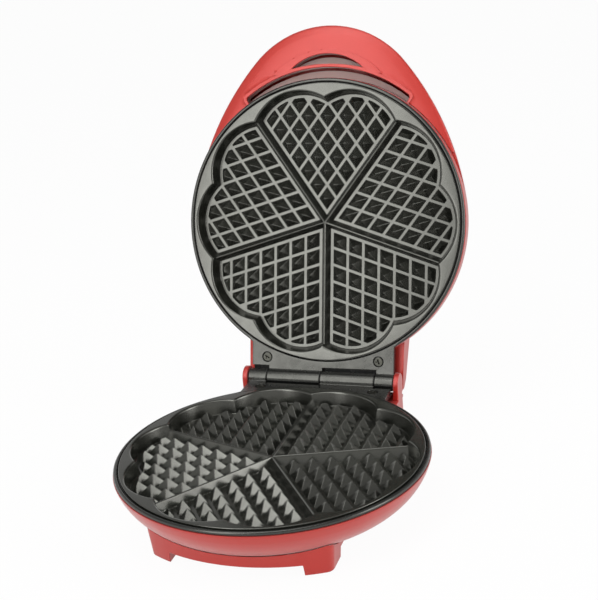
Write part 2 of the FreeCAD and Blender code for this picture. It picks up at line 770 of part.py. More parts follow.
def thermostat():
    low = -plate_depth - thermostat_height
    body = cylinder(thermostat_radius, low, -plate_depth)
    seat = -plate_depth - thermostat_boss
    flange = block(-thermostat_screw_x - boss_radius, thermostat_screw_x + boss_radius,
                   -boss_radius, boss_radius, seat - thermostat_flange, seat)
    body = body.fuse(flange)
    for x in (-thermostat_screw_x, thermostat_screw_x):
        body = body.cut(cylinder(screw_hole, seat - thermostat_flange, seat, x, 0))
    return body.removeSplitter()


def thermostat_screws():
    seat = -plate_depth - thermostat_boss - thermostat_flange
    return [screw(small_screw_length - 2 * thermostat_flange, x, 0, seat)
            for x in (-thermostat_screw_x, thermostat_screw_x)]


def fuse_clip():
    half = fuse_radius + fuse_clip_wall
    low = -plate_depth - 2 * half
    clip = block(-fuse_length / 4, fuse_length / 4, fuse_y - half, fuse_y + half, low, -plate_depth)
    return clip.cut(rod_x(fuse_radius + pin_clearance, -fuse_length, fuse_length, fuse_y, low + half))


def thermal_fuse():
    centre = -plate_depth - fuse_radius - fuse_clip_wall
    return rod_x(fuse_radius, -fuse_length / 2, fuse_length / 2, fuse_y, centre)


def terminal_block():
    back = terminal_block_y + terminal_block_depth
    top = stand_floor_z + terminal_block_height
    body = block(-terminal_block_x, terminal_block_x, terminal_block_y, back, stand_floor_z, top)
    for p in terminal_points():
        body = body.cut(rod_y(terminal_bore, terminal_block_y, back, lead_x(p), lead_z()))
    return body


def lead_x(point):
    return math.copysign(terminal_block_x / 2, point.x)


def lead_z():
    return bowl_floor_z - lead_radius - lead_clearance


def base_leads():
    """Sleeved leads from the terminal block to the heater's pins."""
    leads = []
    for p in terminal_points():
        z = lead_z()
        near = Vector(p.x, p.y + terminal_radius + lead_clearance, z)
        bend = Vector(lead_x(p), terminal_block_y - terminal_block_depth, z)
        end = Vector(lead_x(p), terminal_block_y + terminal_block_depth / 2, z)
        leads.append(joined([segment(near, bend), Part.makeSphere(lead_radius, bend), segment(bend, end)]))
    return leads


def segment(start, end):
    return Part.makeCylinder(lead_radius, (end - start).Length, start, end - start)


def cord_gland():
    outer = base_rear + gland_flange_thickness
    inner = base_rear - wall - gland_flange_thickness
    bush = rod_y(gland_radius, inner, outer, 0, -gland_drop)
    bush = bush.fuse(rod_y(gland_flange, base_rear, outer, 0, -gland_drop))
    return bush.cut(rod_y(gland_bore, inner, outer, 0, -gland_drop)).removeSplitter()


def hinge_pin():
    return rod_x(pin_radius, -pin_half, pin_half, hinge_y, 0)


# Lid housing, drawn closed with +z away from the plates

def hull_wire(inset, z):
    """Outline of the lid: a circle round the plate, drawn out by two flat curves into the handle's nose."""
    rear = lid_radius - inset
    nose = nose_radius - inset
    flank = flank_radius - inset
    rear_centre = Vector(0, 0, z)
    nose_centre = Vector(0, -nose_offset, z)
    right_centre = Vector(-flank_x, flank_y, z)
    left_centre = Vector(flank_x, flank_y, z)

    def meet(centre, other, radius):
        return centre + (centre - other).normalize() * radius

    def arc(start, end, radius, centre):
        middle = ((start + end) * 0.5 - centre).normalize()
        return Part.Arc(start, centre + middle * radius, end).toShape()

    right = meet(rear_centre, right_centre, rear)
    left = meet(rear_centre, left_centre, rear)
    front_right = meet(nose_centre, right_centre, nose)
    front_left = meet(nose_centre, left_centre, nose)
    back = Vector(0, rear, z)
    tip = Vector(0, -nose_offset - nose, z)
    return Part.Wire([arc(right, back, rear, rear_centre), arc(back, left, rear, rear_centre),
                      arc(left, front_left, flank, left_centre), arc(front_left, tip, nose, nose_centre),
                      arc(tip, front_right, nose, nose_centre), arc(front_right, right, flank, right_centre)])


def hull_prism(inset, low, high):
    return Part.Face(hull_wire(inset, low)).extrude(Vector(0, 0, high - low))


def rolled(width, height, skin):
    """Quarter-round rim on the lid's outline, from the parting plane to a flat."""
    last = math.radians(roll_end)
    levels = []
    for k in range(dome_steps + 1):
        t = last * k / dome_steps
        inset = width * (1 - math.cos(t)) + skin * math.cos(t)
        levels.append(hull_wire(inset, parting_height + height * math.sin(t) / math.sin(last)))
    return Part.makeLoft(levels, True, False)


def dome(skin):
    """Rounded top of the lid, drawn in by the thickness of a skin."""
    return rolled(dome_inset, lid_top - parting_height - skin, skin)


def underside(skin):
    """Handle underside: rolls from the parting edge down to a flat."""
    return rolled(cover_roll, skin - cover_drop, skin)


def lid_block(skin):
    points = [(block_front_y, lid_edge + skin), (lid_rear - skin, lid_edge + skin),
              (lid_rear - skin, lid_block_back - skin / 2), (hinge_y - skin, lid_block_shoulder - skin),
              (block_front_y, lid_top - skin - wall)]
    prism = side_prism(points, block_half - skin)
    boxes = [(e, e.BoundBox) for e in prism.Edges]
    rounded = [e for e, box in boxes if box.ZMax > lid_edge + wall and box.YMax > block_front_y + wall]
    return prism.makeFillet(lid_block_round - skin / 2, rounded)


def lid_shell():
    outer = dome(0.0)
    inner = dome(wall)
    edge = -housing_edge
    ring = tube(rabbet_radius, lid_radius, edge, parting_height)
    partition = tube(rabbet_radius, lid_radius, parting_height, lid_top).common(outer)
    shelf = tube(shelf_inner, lid_radius - wall / 2, frame_ledge_bottom, frame_ledge_bottom + shelf_thickness)
    cheeks = outer.cut(cylinder(lid_radius - wall / 2, 0, lid_top))
    cheeks = cheeks.common(block(-2 * lid_radius, 2 * lid_radius, -cheek_front, 0, 0, lid_top))
    room = cylinder(rabbet_radius, 0, lid_top)
    rear = lid_block(0.0).cut(lid_block(wall)).cut(inner).cut(room)
    bosses = [cylinder(boss_radius, -tab_bottom, lid_edge + wall, x, tab_screw_y)
              for x in (-tab_screw_x, tab_screw_x)]
    for x in (-holder_screw_x, holder_screw_x):
        bosses.append(cylinder(boss_radius, holder_top(), lid_top - wall / 2, x, lens_y))
    shell = joined([outer.cut(inner), ring, partition, cheeks, shelf, rear] + bosses)
    tab_room = block(-tab_half - shell_gap, tab_half + shell_gap, tab_root_y - wall, hinge_y, 0, -tab_bottom)
    cuts = [tab_room]
    for x in (-tab_screw_x, tab_screw_x):
        cuts.append(cylinder(screw_hole, -tab_bottom, tab_screw_length - tab_bottom, x, tab_screw_y))
    for x in (-lens_x, lens_x):
        cuts.append(cylinder(lens_stem + lens_clearance, holder_top(), lid_top + wall, x, lens_y))
    for x in (-holder_screw_x, holder_screw_x):
        cuts.append(cylinder(screw_hole, holder_top(), holder_top() + small_screw_length, x, lens_y))
    return shell.cut(Part.makeCompound(cuts)).Solids[0]


def sector(inner, outer, half_angle, low, high):
    """Part of a flat ring, centred on the front."""
    ring = tube(inner, outer, low, high)
    reach = 2 * outer
    side = reach * math.sin(math.radians(half_angle))
    depth = -reach * math.cos(math.radians(half_angle))
    return ring.common(plate_of([(0, 0), (-side, depth), (side, depth)], low, high))


def slot_prism(outer, half_angle, corner, low, high):
    """Curved slot round the lid, narrower towards its rounded ends."""
    body = sector(shelf_inner, outer, half_angle, low, high)
    body = body.common(cylinder(outer - slot_shift, low, high, 0, -slot_shift)).Solids[0]
    ends = []
    for edge in body.Edges:
        first, last = (v.Point for v in (edge.Vertexes[0], edge.Vertexes[-1]))
        upright = abs(last.z - first.z) > (high - low) / 2
        if upright and math.hypot(first.x, first.y) > lid_radius:
            ends.append(edge)
    return body.makeFillet(corner, ends)


def lens_prism(half, front, low, high):
    """Lens between the slot's rim circle and a flatter arc in front of it."""
    side = -math.sqrt(lip_outer ** 2 - half ** 2)
    arc = Part.Arc(Vector(-half, side, low), Vector(0, -front, low), Vector(half, side, low)).toShape()
    chord = Part.makeLine(Vector(half, side, low), Vector(-half, side, low))
    return Part.Face(Part.Wire([arc, chord])).extrude(Vector(0, 0, high - low))


def handle_cover():
    low = parting_height - cover_drop - lip_rise
    inside = parting_height - cover_drop + cover_wall
    keep = block(-2 * lid_radius, 2 * lid_radius, -4 * lid_radius, -cover_start, 0, lid_top)
    room = cylinder(lid_radius + cover_clearance, 0, lid_top)
    skin = underside(0.0).cut(underside(cover_wall))
    rim = lens_prism(pocket_rim_half, pocket_rim_front, low, inside)
    lip_corner = slot_corner + lip_width / 2
    rim = rim.fuse(slot_prism(lip_outer, slot_half_angle + lip_margin, lip_corner, low, inside))
    tongue = hull_prism(wall + cover_clearance, parting_height - cover_wall / 2,
                        parting_height + tongue_height)
    tongue = tongue.cut(hull_prism(wall + cover_clearance + tongue_thickness, 0, lid_top))
    tongue = tongue.cut(block(-2 * lid_radius, 2 * lid_radius, -cheek_front - cover_clearance, 2 * lid_radius,
                              0, lid_top))
    posts = [cylinder(shield_post_radius, inside - cover_wall / 2, shield_height, x, -shield_post_y)
             for x in (-shield_post_x, shield_post_x)]
    cover = joined([skin, rim, tongue] + posts).common(keep).cut(room)
    cuts = [slot_prism(slot_outer, slot_half_angle, slot_corner, 0, lid_top),
            lens_prism(pocket_half, pocket_front, 0, lid_top).cut(cylinder(lip_outer, 0, lid_top))]
    for x in (-shield_post_x, shield_post_x):
        top = shield_height
        cuts.append(cylinder(screw_hole, top - small_screw_length + shield_thickness, top, x, -shield_post_y))
    return cover.cut(Part.makeCompound(cuts)).Solids[0]


def handle_shield():
    top = shield_height + shield_thickness
    sheet = sector(lid_radius + cover_clearance, shield_reach, shield_half_angle, shield_height, top)
    sheet = sheet.common(hull_prism(shield_inset, shield_height, top))
    slot = slot_prism(slot_outer, slot_half_angle, slot_corner, shield_height, top)
    kept = cylinder(slot_outer - slot_shift - shield_vent, shield_height, top, 0, -slot_shift)
    sheet = sheet.cut(slot.cut(kept))
    pocket = lens_prism(pocket_half, pocket_front, shield_height, top).cut(cylinder(lip_outer, 0, lid_top))
    sheet = sheet.cut(pocket.cut(lens_prism(pocket_half, pocket_front - shield_vent, shield_height, top)))
    for x in (-shield_post_x, shield_post_x):
        sheet = sheet.cut(cylinder(screw_hole, shield_height, top, x, -shield_post_y))
    return sheet.Solids[0]


def shield_screws():
    seat = shield_height + shield_thickness
    return [hung_screw(small_screw_length - 2 * shield_thickness, x, -shield_post_y, seat)
            for x in (-shield_post_x, shield_post_x)]


def holder_top():
    return lid_top - wall - lamp_length


def lamp_holder():
    plate = block(-holder_half, holder_half, lens_y - holder_depth, lens_y + holder_depth,
                  holder_top() - holder_thickness, holder_top())
    for x in (-holder_screw_x, holder_screw_x):
        plate = plate.cut(cylinder(screw_hole, holder_top() - holder_thickness, holder_top(), x, lens_y))
    return plate


def holder_screws():
    seat = holder_top() - holder_thickness
    return [screw(small_screw_length - holder_thickness / 2, x, lens_y, seat)
            for x in (-holder_screw_x, holder_screw_x)]


def lens(x):
    head = cylinder(lens_radius, lid_top, lid_top + lens_rise, x, lens_y)
    rim = [e for e in head.Edges if e.BoundBox.ZMin > lid_top + lens_rise - lens_round]
    head = head.makeFillet(lens_round, rim)
    stem = cylinder(lens_stem, lid_top - wall, lid_top, x, lens_y)
    return head.fuse(stem).removeSplitter()


def lid_terminal_block():
    y = terminal_points()[0].y
    half = terminal_block_depth / 2
    body = block(-terminal_block_x, terminal_block_x, y - half, y + half, lid_terminal_low, lid_top - wall)
    body = body.cut(rod_x(terminal_bore, -terminal_block_x, terminal_block_x, y, lid_lead_z()))
    for x in (-lens_x, lens_x):
        body = body.cut(rod_y(terminal_bore, y - half, y, x, lid_lead_z()))
    return body


def lid_lead_z():
    return holder_top() + lead_radius + lead_clearance


def lid_leads():
    """Sleeved leads from the lid's terminal block to its heater and to the lamps."""
    p = terminal_points()[0]
    near = abs(p.x) - terminal_radius - lead_clearance
    z = lid_lead_z()
    inner = lens_x + terminal_bore + lead_clearance
    leads = [rod_x(lead_radius, inner, near, p.y, z), rod_x(lead_radius, -near, -inner, p.y, z)]
    front = lens_y + lamp_radius + lens_clearance
    for x in (-lens_x, lens_x):
        leads.append(rod_y(lead_radius, front, p.y - terminal_bore - lead_clearance, x, z))
    return leads


def neon_lamps():
    return [cylinder(lamp_radius, holder_top(), holder_top() + lamp_length - lens_clearance, x, lens_y)
            for x in (-lens_x, lens_x)]


# Placing and writing the pieces

def in_base(shape):
    copy = shape.copy()
    copy.translate(Vector(0, 0, mating_height))
    return copy


def in_lid(shape):
    copy = shape.copy()
    copy.rotate(Vector(0, hinge_y, 0), Vector(1, 0, 0), -open_angle)
    copy.translate(Vector(0, 0, mating_height))
    return copy


def turned_over(shape):
    copy = shape.copy()
    copy.rotate(Vector(0, 0, 0), Vector(0, 1, 0), 180)
    return copy


def write(name, shapes, place):
    pieces = [place(s) for s in (shapes if isinstance(shapes, list) else [shapes])]
    whole = pieces[0] if len(pieces) == 1 else Part.makeCompound(pieces)
    whole.exportStep("parts/" + name + ".step")


os.makedirs("parts", exist_ok=True)

shared = {
    "plate": baking_plate(),
    "plate_rim": plate_rim(),
    "frame": bezel_frame(),
    "frame_screws": tab_screws(),
    "heater": heater(),
    "heater_clamps": heater_clamps(),
    "clamp_screws": clamp_screws(),
    "plate_brackets": plate_brackets(),
    "bracket_screws": bracket_screws(),
    "reflector": reflector(),
    "reflector_screws": reflector_screws(),
}
for name, shapes in shared.items():
    group = shapes if isinstance(shapes, list) else [shapes]
    write("lower_" + name, group, in_base)
    write("upper_" + name, [turned_over(s) for s in group], in_lid)

write("base_bowl", base_bowl(), in_base)
write("base_stand", base_stand(), in_base)
write("foot_pads", foot_pads(), in_base)
write("stand_screws", stand_screws(), in_base)
write("thermostat", thermostat(), in_base)
write("thermostat_screws", thermostat_screws(), in_base)
write("thermal_fuse", thermal_fuse(), in_base)
write("fuse_clip", fuse_clip(), in_base)
write("terminal_block", terminal_block(), in_base)
write("base_leads", base_leads(), in_base)
write("cord_gland", cord_gland(), in_base)
write("hinge_pin", hinge_pin(), in_base)

write("lid_shell", lid_shell(), in_lid)
write("handle_cover", handle_cover(), in_lid)
write("handle_shield", handle_shield(), in_lid)
write("shield_screws", shield_screws(), in_lid)
write("lamp_holder", lamp_holder(), in_lid)
write("holder_screws", holder_screws(), in_lid)
write("neon_lamps", neon_lamps(), in_lid)
write("lid_terminal_block", lid_terminal_block(), in_lid)
write("lid_leads", lid_leads(), in_lid)
write("power_lens", lens(-lens_x), in_lid)
write("ready_lens", lens(lens_x), in_lid)
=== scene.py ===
import json
import math

import bmesh
import bpy
from bpy.props import FloatProperty, FloatVectorProperty, IntProperty, PointerProperty
from mathutils import Matrix, Vector, bvhtree, kdtree


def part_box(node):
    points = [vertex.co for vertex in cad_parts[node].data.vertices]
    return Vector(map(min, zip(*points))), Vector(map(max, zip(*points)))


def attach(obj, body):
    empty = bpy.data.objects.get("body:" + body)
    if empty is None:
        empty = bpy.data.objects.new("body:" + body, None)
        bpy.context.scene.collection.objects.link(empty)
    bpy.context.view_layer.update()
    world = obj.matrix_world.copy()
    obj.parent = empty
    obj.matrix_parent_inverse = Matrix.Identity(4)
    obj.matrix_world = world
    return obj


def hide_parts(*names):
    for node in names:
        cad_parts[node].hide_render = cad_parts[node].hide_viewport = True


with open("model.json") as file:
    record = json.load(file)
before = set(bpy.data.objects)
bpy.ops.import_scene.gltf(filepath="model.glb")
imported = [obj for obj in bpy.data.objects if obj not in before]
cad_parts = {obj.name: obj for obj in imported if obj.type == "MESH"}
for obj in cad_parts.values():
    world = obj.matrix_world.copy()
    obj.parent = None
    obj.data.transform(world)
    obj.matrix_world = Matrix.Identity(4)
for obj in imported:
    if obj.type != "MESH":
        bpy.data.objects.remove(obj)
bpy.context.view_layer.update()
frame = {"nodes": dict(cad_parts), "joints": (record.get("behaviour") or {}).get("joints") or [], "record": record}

bl_info = {
    "name": "Heart waffle maker",
    "version": (1, 0, 0),
    "blender": (4, 5, 0),
    "location": "View3D > Sidebar > Waffle maker",
    "description": "Dresses the packed waffle maker with its finished plates, housings, screws and studio",
    "category": "Object",
}

MM = 0.001
hinge = frame["joints"][0]
HINGE = Vector(hinge["pos_m"])
OPEN = math.radians(hinge["range_deg"][1])

# Each half is drawn with z = 0 in the plane where the plates meet, as in the CAD.
IN_BASE = Matrix.Translation((0, 0, HINGE.z))
IN_LID = Matrix.Translation(HINGE) @ Matrix.Rotation(-OPEN, 4, "X") @ Matrix.Translation((0, -HINGE.y, 0))
TURNED_OVER = IN_LID @ Matrix.Rotation(math.pi, 4, "Y")
HALVES = (("base", "lower", IN_BASE), ("lid", "upper", TURNED_OVER))

NEAR = 0.05 * MM            # a corner this close lies on a surface
MERGE = 0.002 * MM          # corners of the CAD meshes this close are one
SMALL_ROUND = 0.2 * MM      # edges of thin sheets and lenses
FRAME_ROUND = 0.4 * MM      # edges of the black mouldings
RELIEF = 0.05 * MM          # height of a finish's grain
PATCH_RATIO = 14.0          # patches of roughness, in grains
# Painted highlight on sharp edges: the pointiness span over which it grows, and the white mixed into it.
HIGHLIGHT_FROM, HIGHLIGHT_TO = 0.53, 0.62     # pointiness at which an edge starts and ends to get paler
HIGHLIGHT_PALE = 0.25          # white mixed into the painted edge highlight

# Light of the studio, as shares of white
FILL = 0.35                 # evenly from all round, on the object
FLOOR_SEEN = 0.96           # floor's own white before the camera; the rest keeps the shadow
FLOOR_MIRRORED = 0.5        # the same in reflections
WALL_ENDS = 0.2, 0.5        # height at which the backdrop fades to the ceiling in reflections
LAMPS_AIM = 0, 90, 120      # millimetres
# name, turn and height in degrees, distance in millimetres, width and height in metres, watts
LAMPS = (("tall softbox", -20, 32, 1250, 0.46, 1.45, 7.6),
         ("top softbox", -5, 74, 1200, 0.8, 0.8, 4.4),
         ("side softbox", 85, 17, 1250, 0.5, 0.98, 6.4))

# Camera fitted to the photograph
CAMERA_TURN = 19.174, 20.011, -4.899    # azimuth, elevation and roll in degrees
CAMERA_AIM = -1.941, 84.685, 114.117    # millimetres
CAMERA_AWAY = 906.87                    # millimetres
FOCAL_PIXELS, FRAME_PIXELS = 1320.253, 600
SENSOR = 36                             # millimetres


def linear(code):
    """Linear colour with alpha from an sRGB hex code."""
    values = [int(code[i:i + 2], 16) / 255 for i in (1, 3, 5)]
    return [v / 12.92 if v <= 0.04045 else ((v + 0.055) / 1.055) ** 2.4 for v in values] + [1.0]


def size(label, text, value):
    return FloatProperty(name=label, description=text, default=value * MM, unit="LENGTH", precision=4)


def colour(label, text, code):
    return FloatVectorProperty(name=label, description=text, default=linear(code), size=4, subtype="COLOR",
                               min=0.0, max=1.0)


class WafflePlateSizes(bpy.types.PropertyGroup):
    """Sizes of the cast baking plates."""
    radius: size("Plate radius", "Outer edge of the plate's flange", 99.5)
    body_radius: size("Body radius", "Casting below the flange", 97.4)
    rim_drop: size("Rim drop", "Rim below the plane where the plates meet", 0.25)
    flange: size("Flange", "Thickness of the flange", 2.4)
    depth: size("Depth", "Underside below the plane where the plates meet", 13.2)
    chamfer: size("Chamfer", "Lower edge of the casting", 3.0)
    recess: size("Recess", "Depth of the hearts", 10.0)
    lobe_orbit: size("Lobe orbit", "Lobe centres from the plate's centre", 60.0)
    lobe_rim: size("Lobe at the rim", "Radius of a heart's lobe at the rim", 36.6)
    lobe_floor: size("Lobe at the floor", "Radius of a heart's lobe at the floor", 34.8)
    rim_round: size("Rim rounding", "Rounded edge at the top of the wall", 1.6)
    floor_round: size("Floor rounding", "Hollow between wall and floor", 0.5)
    divider_base: size("Divider foot", "Width of a divider at the floor", 6.0)
    divider_crest: size("Divider crest", "Width of a divider at its top", 1.2)
    divider_height: size("Divider height", "Height of a divider", 6.0)
    divider_reach: size("Divider reach", "Length of a divider from the centre", 89.0)
    pitch: size("Pyramid pitch", "Distance between rows of pyramids", 12.2)
    groove: size("Groove", "Flat between two pyramids", 1.9)
    pyramid_height: size("Pyramid height", "Height of a pyramid", 7.0)
    pyramid_tip: size("Pyramid tip", "Flat at a pyramid's tip", 0.7)
    strip: size("Strip", "Flat beside a divider", 2.3)
    border: size("Border", "Flat beside the wall", 2.2)
    root: size("Root", "Pyramid foot sunk in the floor", 0.6)
    pyramid_round: size("Pyramid rounding", "Rounded edges of the pyramids", 0.3)
    hearts: IntProperty(name="Hearts", description="Hearts in a plate", default=5, min=3, max=8)
    steps: IntProperty(name="Steps", description="Points round the plate", default=720, min=90, max=1440)


class WaffleFitSizes(bpy.types.PropertyGroup):
    """Sizes of the frames, housings and small pieces."""
    edge: size("Edge rounding", "Rounded edges of moulded pieces", 0.6)
    crown: size("Crown", "Rounded edges of the bezel's ring", 1.35)
    ring_inner: size("Ring inside", "Inner radius of the bezel's ring", 100.2)
    ring_outer: size("Ring outside", "Outer radius of the bezel's ring", 103.0)
    barrel: size("Barrel", "Radius of the hinge knuckles", 6.0)
    barrel_round: size("Barrel ends", "Rounded ends of the hinge knuckles", 0.7)
    web_edge: size("Web edge", "Web's edge beside the other half's knuckles", 109.667)
    web_top: size("Web", "Web left in the notch, from the plane where the plates meet", -5.0)
    web_slope: size("Web slope", "Fall of the web towards the hinge", 0.9)
    frame_drop: size("Frame drop", "Bezel below the plane where the plates meet", 1.0)
    head_radius: size("Screw head", "Radius of a screw's head", 3.1)
    head_height: size("Head height", "Height of a screw's head", 1.7)
    cross: size("Cross", "Length of the cross recess", 3.6)
    cross_width: size("Cross width", "Width of the cross recess", 0.9)
    cross_depth: size("Cross depth", "Depth of the cross recess", 1.0)
    shank: size("Shank", "Radius of a screw's shank", 1.6)
    shank_length: size("Shank length", "Length of a tab screw's shank", 12.0)
    seat: size("Seat", "Tab screw's seat below the plane where the plates meet", 2.9)
    screw_x: size("Screw spacing", "Tab screw from the middle", 42.0)
    screw_y: size("Screw setback", "Tab screw behind the plate's centre", 99.0)
    pad_radius: size("Pad radius", "Radius of a rubber pad", 5.5)
    pad_x: size("Pad spacing", "Rubber pad from the middle", 51.2)
    pad_front: size("Front pads", "Front pads before the plate's centre", 62.19)
    pad_back: size("Rear pads", "Rear pads behind the plate's centre", 113.7)


class WaffleFinishes(bpy.types.PropertyGroup):
    """Colours of the finishes."""
    red: colour("Lacquer", "Red lacquer of the housings", "#bf2a1e")
    frame: colour("Frame", "Black moulded frames", "#161616")
    coat: colour("Coat", "Non-stick coat of the plates", "#191a16")
    shield: colour("Shield", "Grey sheet behind the handle's slot", "#b09a94")
    nickel: colour("Nickel", "Plated screws", "#4a4a44")
    floor: colour("Floor", "Studio floor", "#f4f3f2")


def add(tree, kind, inputs=None, **settings):
    """Adds a node with its settings; inputs are values or the sockets to link from."""
    made = tree.nodes.new(kind)
    for key, value in settings.items():
        setattr(made, key, value)
    for key, value in (inputs or {}).items():
        socket = made.inputs[key]
        several = isinstance(value, list) and isinstance(value[0], bpy.types.NodeSocket)
        for item in value if several else [value]:
            if isinstance(item, bpy.types.NodeSocket):
                tree.links.new(item, socket)
            else:
                socket.default_value = item
    return made


def blank(name):
    """New material with its shader, output and Object coordinates."""
    made = bpy.data.materials.new(name)
    made.use_nodes = True
    tree = made.node_tree
    tree.nodes.clear()
    shader = add(tree, "ShaderNodeBsdfPrincipled")
    add(tree, "ShaderNodeOutputMaterial", {"Surface": shader.outputs["BSDF"]})
    place = add(tree, "ShaderNodeTexCoord")
    return made, tree, shader, place.outputs["Object"]


def per_metre(millimetres):
    """Noise scale for grains of the given size."""
    return 1.0 / (millimetres * MM)


def finish(name, base, metallic, rough, grain, shade, rough_range, bump, wear=0.15, **sockets):
    """Material with grains of the given size in millimetres, and a painted highlight along its edges of the given
    share.

    Real flakes and pores are finer than half a millimetre; they are drawn coarser, so that they show.
    """
    made, tree, shader, at = blank(name)
    noise = add(tree, "ShaderNodeTexNoise", {"Vector": at, "Scale": per_metre(grain), "Detail": 3.0})
    dark = [c * (1 - shade) for c in base[:3]] + [1.0]
    light = [min(1.0, c * (1 + shade)) for c in base[:3]] + [1.0]
    mix = add(tree, "ShaderNodeMix", {0: noise.outputs["Fac"], 6: dark, 7: light}, data_type="RGBA")
    # Sharp edges are painted paler, as a painted highlight along them.
    sharp = add(tree, "ShaderNodeNewGeometry").outputs["Pointiness"]
    edge = add(tree, "ShaderNodeMapRange", {"Value": sharp, "From Min": HIGHLIGHT_FROM, "From Max": HIGHLIGHT_TO,
                                            "To Min": 0.0, "To Max": wear})
    highlight_colour = [(1 - HIGHLIGHT_PALE) * c + HIGHLIGHT_PALE for c in base[:3]] + [1.0]
    highlit = add(tree, "ShaderNodeMix", {0: edge.outputs["Result"], 6: mix.outputs[2], 7: highlight_colour},
               data_type="RGBA")
    tree.links.new(highlit.outputs[2], shader.inputs["Base Color"])
    patch = add(tree, "ShaderNodeTexNoise", {"Vector": at, "Scale": per_metre(PATCH_RATIO * grain),
                                             "Detail": 2.0})
    span = add(tree, "ShaderNodeMapRange", {"Value": patch.outputs["Fac"], "From Min": 0.3, "From Max": 0.7,
                                            "To Min": rough - rough_range, "To Max": rough + rough_range})
    tree.links.new(span.outputs["Result"], shader.inputs["Roughness"])
    relief = add(tree, "ShaderNodeBump", {"Height": noise.outputs["Fac"], "Strength": bump,
                                          "Distance": RELIEF})
    tree.links.new(relief.outputs["Normal"], shader.inputs["Normal"])
    shader.inputs["Metallic"].default_value = metallic
    for key, value in sockets.items():
        shader.inputs[key.replace("_", " ").title().replace("Ior", "IOR")].default_value = value
    return made


MADE = {}


def material(key):
    """Finish by the record's slot name, made once."""
    if key not in MADE:
        name, code, *numbers = RECIPES[key]
        sockets = numbers.pop() if isinstance(numbers[-1], dict) else {}
        base = linear(code) if code.startswith("#") else getattr(bpy.context.scene.waffle_finishes, code)
        MADE[key] = finish(name, base, *numbers, **sockets)
    return MADE[key]


# What each finish is, how it was made and what that gives the eye: its name, its colour, metallic, roughness,
# grain in millimetres, how much the colour, the roughness and the height vary, and what else the shader gets.
RECIPES = {
    # Satin lacquer on moulded ABS: deep red, with a soft broad sheen that turns pale at the edges, and a painted
    # highlight along its sharp edges.
    "red_housing": ("satin lacquer", "red", 0.4, 0.5, 0.5, 0.08, 0.03, 0.04,
                    dict(specular_ior_level=0.2, coat_weight=1.0, coat_roughness=0.36,
                         sheen_weight=0.45, sheen_roughness=0.35)),
    # Glass-filled phenolic, moulded: satin black with a faint grain.
    "black_frame": ("moulded phenolic", "frame", 0.0, 0.25, 0.5, 0.12, 0.04, 0.08,
                    dict(ior=1.68, specular_tint=linear("#fffff5"))),
    # Sprayed PTFE on die-cast aluminium: black, satin, faintly peppered. Its edges get a faint painted highlight.
    # The IOR is above plain PTFE's, to match the shine that shows.
    "nonstick_plate": ("PTFE coat", "coat", 0.0, 0.24, 0.6, 0.12, 0.03, 0.08,
                       dict(ior=1.9, wear=0.03, specular_tint=linear("#fffff5"))),
    # Nickel plate on turned steel, dulled by heat: grey with a soft shine.
    "bright_screw": ("nickel plate", "nickel", 1.0, 0.36, 0.4, 0.10, 0.06, 0.08),
    # Zinc plate on steel: duller and a little blue.
    "zinc_screw": ("zinc plate", "#b9bbbc", 1.0, 0.38, 0.4, 0.08, 0.06, 0.08),
    # Rolled sheet steel: even grey sheen.
    "sheet_steel": ("rolled sheet steel", "#a6a7a8", 1.0, 0.42, 0.5, 0.08, 0.08, 0.08),
    # Steel sheath after heating: brown-grey oxide.
    "heater_tube": ("oxidised steel", "#6b655f", 0.8, 0.55, 1.2, 0.20, 0.08, 0.15),
    # Rolled aluminium sheet: bright and soft.
    "reflector_sheet": ("rolled aluminium", "#d3d4d5", 1.0, 0.34, 0.5, 0.05, 0.06, 0.06),
    # Nitrile rubber, moulded: matt black.
    "foot_rubber": ("moulded rubber", "#1d1d1d", 0.0, 0.78, 0.5, 0.15, 0.06, 0.25),
    # Pressed aluminium cap: bright grey with a soft shine.
    "thermostat_case": ("pressed aluminium", "#c6c7c8", 1.0, 0.40, 0.5, 0.06, 0.06, 0.06),
    # Steatite, fired without glaze: chalky cream.
    "ceramic": ("unglazed steatite", "#ddd6c8", 0.0, 0.72, 0.6, 0.06, 0.06, 0.20),
    # Woven glass sleeve: pale and fibrous.
    "lead_sleeve": ("woven glass sleeve", "#d0c9b8", 0.0, 0.80, 0.5, 0.15, 0.06, 0.50),
    # Moulded nylon: black with a low sheen.
    "black_gland": ("moulded nylon", "#1c1c1d", 0.0, 0.45, 0.5, 0.12, 0.06, 0.15),
    # Drawn steel rod: smooth and bright.
    "pin_steel": ("drawn steel", "#a2a3a4", 1.0, 0.30, 0.4, 0.06, 0.05, 0.05),
    # Heat-resistant PBT, moulded: warm grey and even.
    "grey_shield": ("moulded PBT", "shield", 0.0, 0.50, 0.5, 0.06, 0.06, 0.12),
    # Pressed phenolic board: brown with fine paper fibre.
    "lamp_board": ("phenolic board", "#6b5538", 0.0, 0.55, 0.8, 0.15, 0.06, 0.10),
    # Drawn soda glass, slightly warm from the neon electrodes.
    "lamp_glass": ("soda glass", "#efe2d2", 0.0, 0.08, 0.8, 0.03, 0.02, 0.02,
                   dict(transmission_weight=0.8, ior=1.52)),
    # Clear polycarbonate, dyed red: glossy, lets some light in.
    "red_lens": ("red polycarbonate", "#b5161a", 0.0, 0.12, 0.8, 0.04, 0.03, 0.03,
                 dict(transmission_weight=0.35, ior=1.58)),
    # Clear polycarbonate, dyed green: glossy, lets some light in.
    "green_lens": ("green polycarbonate", "#1f8a3c", 0.0, 0.12, 0.8, 0.04, 0.03, 0.03,
                   dict(transmission_weight=0.35, ior=1.58)),
}


def put(name, mesh, body, slot, *nodes):
    """Shows a finished mesh on its body, in its finish, in place of CAD nodes."""
    piece = bpy.data.objects.new(name, mesh)
    bpy.context.scene.collection.objects.link(piece)
    mesh.materials.clear()
    mesh.materials.append(material(slot))
    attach(piece, body)
    if nodes:
        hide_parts(*nodes)
    return piece


